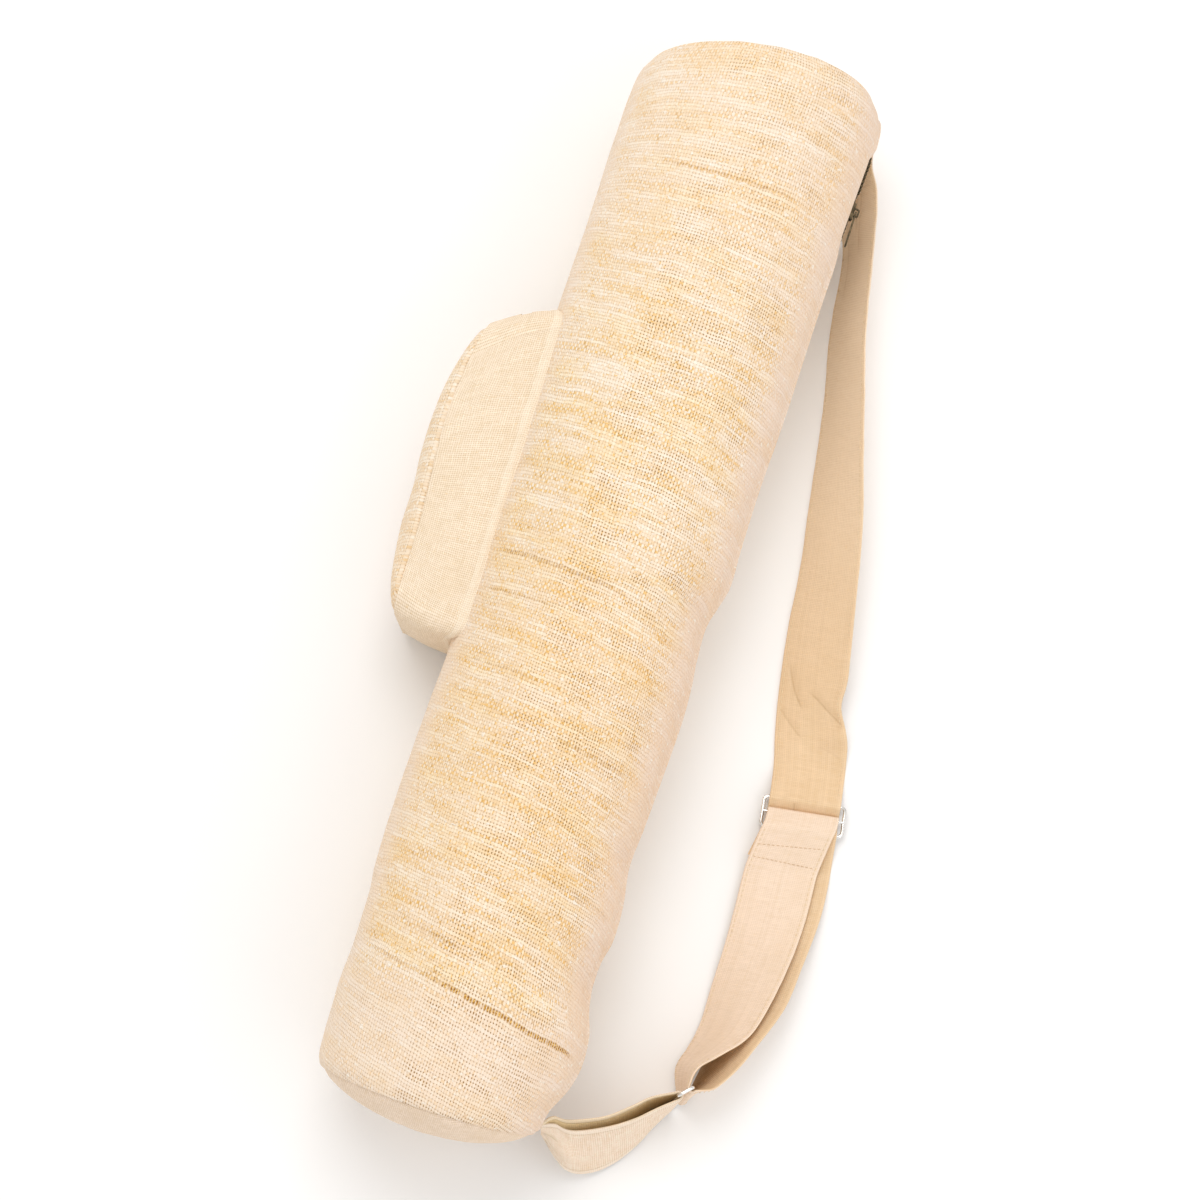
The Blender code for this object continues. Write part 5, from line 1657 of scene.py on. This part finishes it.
def make_stitches(strap, slider_at, pull, tab):
    centre, _, run = slider_frame()
    front_at = strap.nearest(centre + run * TAIL_LENGTH, strap.length - 0.12, strap.length)
    rows = [(front_at - 0.0023, -0.0026), (front_at + 0.0092, 0.0033)]
    stitch_across(strap, "sewn_end_stitches", rows, brown_thread)
    stitch_edges(strap, "strap_edge_stitches_tan", 0.055, 0.012, slider_at - 0.016, -1.0, pull)
    last = strap.length - 0.052
    stitch_edges(strap, "strap_edge_stitches_canvas", 0.055, slider_at + 0.02, last, 1.0, pull)
    stitch_across(strap, "strap_seam_stitches", [(0.004, 0.0), (0.009, 0.0)], cream_thread)
    last = tab.length / 2 - 0.012
    stitch_edges(tab, "tab_edge_stitches", 0.06, 0.012, last, 1.0, not_drawn)


# The zip

TAPE_STEP = 0.003
TAPE_COLUMNS = 17
TOOTH_PITCH = 0.0026


def zip_lift(along):
    """How far the zip stands out of the bag's side above its slider."""
    return 0.0012 * slider_shown(along, 0.430, 0.438)


def make_tape():
    """The zip's tape, which runs on under the bag's cloth to both rims."""
    first = BASE_RIM + 0.005
    last = TOP_RIM - 0.002
    rows = round((last - first) * BAG_LENGTH / TAPE_STEP)
    half = TAPE_WIDTH / 2 / BAG_RADIUS

    def place(column, row):
        angle = ZIP_ANGLE + lerp(-half, half, column / (TAPE_COLUMNS - 1))
        along = lerp(first, last, row / (rows - 1))
        return tube_point(angle, along, CLOTH + GAP - zip_lift(along))

    def lay(column, row):
        return column / (TAPE_COLUMNS - 1) * TAPE_WIDTH, row * TAPE_STEP

    piece = grid_cloth("zip_tape_cloth", TAPE_COLUMNS, rows, place, lay)
    finish_sheet(piece, BAG_MIDDLE, TAPE_THICK, tape_cloth, "zip_cloth", "zip_tape")


def make_tooth():
    """One metal tooth: a clamp on the tape that narrows to a rounded head."""
    bpy.ops.object.select_all(action="DESELECT")
    bpy.ops.mesh.primitive_cube_add(size=1.0)
    tooth = bpy.context.object
    mesh = tooth.data
    for vertex in mesh.vertices:
        head = vertex.co.x > 0.0
        vertex.co.x = TEETH_WIDTH * (0.16 if head else -0.5)
        vertex.co.y *= TOOTH_PITCH * (0.44 if head else 0.56)
        vertex.co.z *= TEETH_THICK * (0.62 if head else 0.94)
    apply_modifier(tooth, "BEVEL", width=0.00022, segments=2)
    return tooth


def make_teeth():
    """The two rows of teeth, locked into each other along the bag."""
    count = int((ZIP_LAST - ZIP_FIRST) * BAG_LENGTH / TOOTH_PITCH)
    spots = []
    for index in range(count * 2):
        side = 1.0 if index % 2 else -1.0
        along = ZIP_FIRST + (index + 0.7) * TOOTH_PITCH / 2 / BAG_LENGTH
        if along > ZIP_LAST - 0.002:
            break
        middle = tube_point(ZIP_ANGLE, along, CLOTH - TEETH_THICK / 2 - zip_lift(along))
        ahead = (tube_point(ZIP_ANGLE, along + 0.004) - tube_point(ZIP_ANGLE, along - 0.004)).normalized()
        across = Vector((0.0, 0.0, side))
        spots.append((middle, across, ahead, across.cross(ahead).normalized()))
    piece = copies("zip_chain", make_tooth(), spots)
    smooth(piece, METAL_ANGLE)
    dress(piece, zip_metal, "bag", "zip_metal", "zip_teeth")


def softened(node, name, body, bevel):
    """A copy of a small metal piece of the frame, its edges rounded off."""
    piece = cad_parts[node].copy()
    piece.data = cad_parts[node].data.copy()
    for key in list(piece.keys()):
        del piece[key]
    piece.parent = None
    piece.name = name
    bpy.context.scene.collection.objects.link(piece)
    edit_all(piece, (bpy.ops.mesh.remove_doubles, {"threshold": MERGE}),
             (bpy.ops.mesh.tris_convert_to_quads, {}),
             (bpy.ops.mesh.dissolve_limited, {"angle_limit": math.radians(2.0)}))
    apply_modifier(piece, "BEVEL", width=bevel, segments=3, limit_method="ANGLE")
    smooth(piece, METAL_ANGLE)
    dress(piece, zip_metal, body, "zip_metal", node)


# Floor, light and camera

def make_stage():
    bpy.ops.object.select_all(action="DESELECT")
    bpy.ops.mesh.primitive_plane_add(size=14.0, location=(0.0, 0.0, -0.0002))
    floor = bpy.context.object
    floor.name = "floor"
    mix = Recipe("pale_floor", roughness=0.95)
    floor.data.materials.append(mix.finish((0.93, 0.93, 0.93)))
    world = bpy.data.worlds.new("soft_studio")
    bpy.context.scene.world = world
    world.use_nodes = True
    sky = world.node_tree.nodes["Background"].inputs
    sky["Color"].default_value = (1.0, 0.99, 0.98, 1.0)
    sky["Strength"].default_value = 0.82
    for name, place, size, power in (("key", Vector((-0.7, 1.1, 2.8)), 1.8, 34.0),
                                     ("fill", Vector((1.8, -0.6, 1.6)), 2.2, 10.0)):
        lamp = bpy.data.lights.new(name, "AREA")
        lamp.size = size
        lamp.energy = power
        lamp.color = (1.0, 0.985, 0.97)
        light = add_object(name, lamp)
        light.location = place
        light.rotation_euler = (-place).to_track_quat("-Z", "Y").to_euler()
    bpy.context.scene.view_settings.view_transform = "Standard"


def make_camera():
    """A camera at the photograph's angle: high over the bag, and turned about its own axis."""
    lens = bpy.data.cameras.new("camera")
    camera = add_object("camera", lens)
    back = Vector((0.0, -math.cos(CAMERA_HEIGHT_ANGLE), math.sin(CAMERA_HEIGHT_ANGLE)))
    level_up = Vector((0.0, math.sin(CAMERA_HEIGHT_ANGLE), math.cos(CAMERA_HEIGHT_ANGLE)))
    level_right = Vector((1.0, 0.0, 0.0))
    right = level_right * math.cos(CAMERA_ROLL) + level_up * math.sin(CAMERA_ROLL)
    up = level_up * math.cos(CAMERA_ROLL) - level_right * math.sin(CAMERA_ROLL)
    turn = Matrix((right, up, back)).transposed()
    camera.matrix_world = Matrix.Translation(CAMERA_AIM + back * CAMERA_DISTANCE) @ turn.to_4x4()
    lens.sensor_width = SENSOR
    lens.lens = SENSOR * CAMERA_DISTANCE / (PIXEL_SIZE * PICTURE_WIDTH)
    lens.shift_x = (PICTURE_WIDTH / 2 - AIM_PIXEL[0]) / PICTURE_WIDTH
    lens.shift_y = (AIM_PIXEL[1] - PICTURE_WIDTH / 2) / PICTURE_WIDTH
    bpy.context.scene.camera = camera


make_stage()
make_camera()
make_body()
make_end("top_cap", 1, 1.0 - SHOULDER / BAG_RADIUS + 0.012, "top_end")
make_end("base_cap", -1, 1.0, "base_end")
make_gusset()
make_pocket_front()
strap_band, strap_slider_at, strap_drawn = make_strap()
tab_band = make_tab()
make_fittings()
make_stitches(strap_band, strap_slider_at, strap_drawn, tab_band)
make_tape()
make_teeth()
softened("zip_slider", "zip_slider_body", "bag", 0.00025)
softened("zip_pull", "zip_pull_tab", "pull", 0.00022)
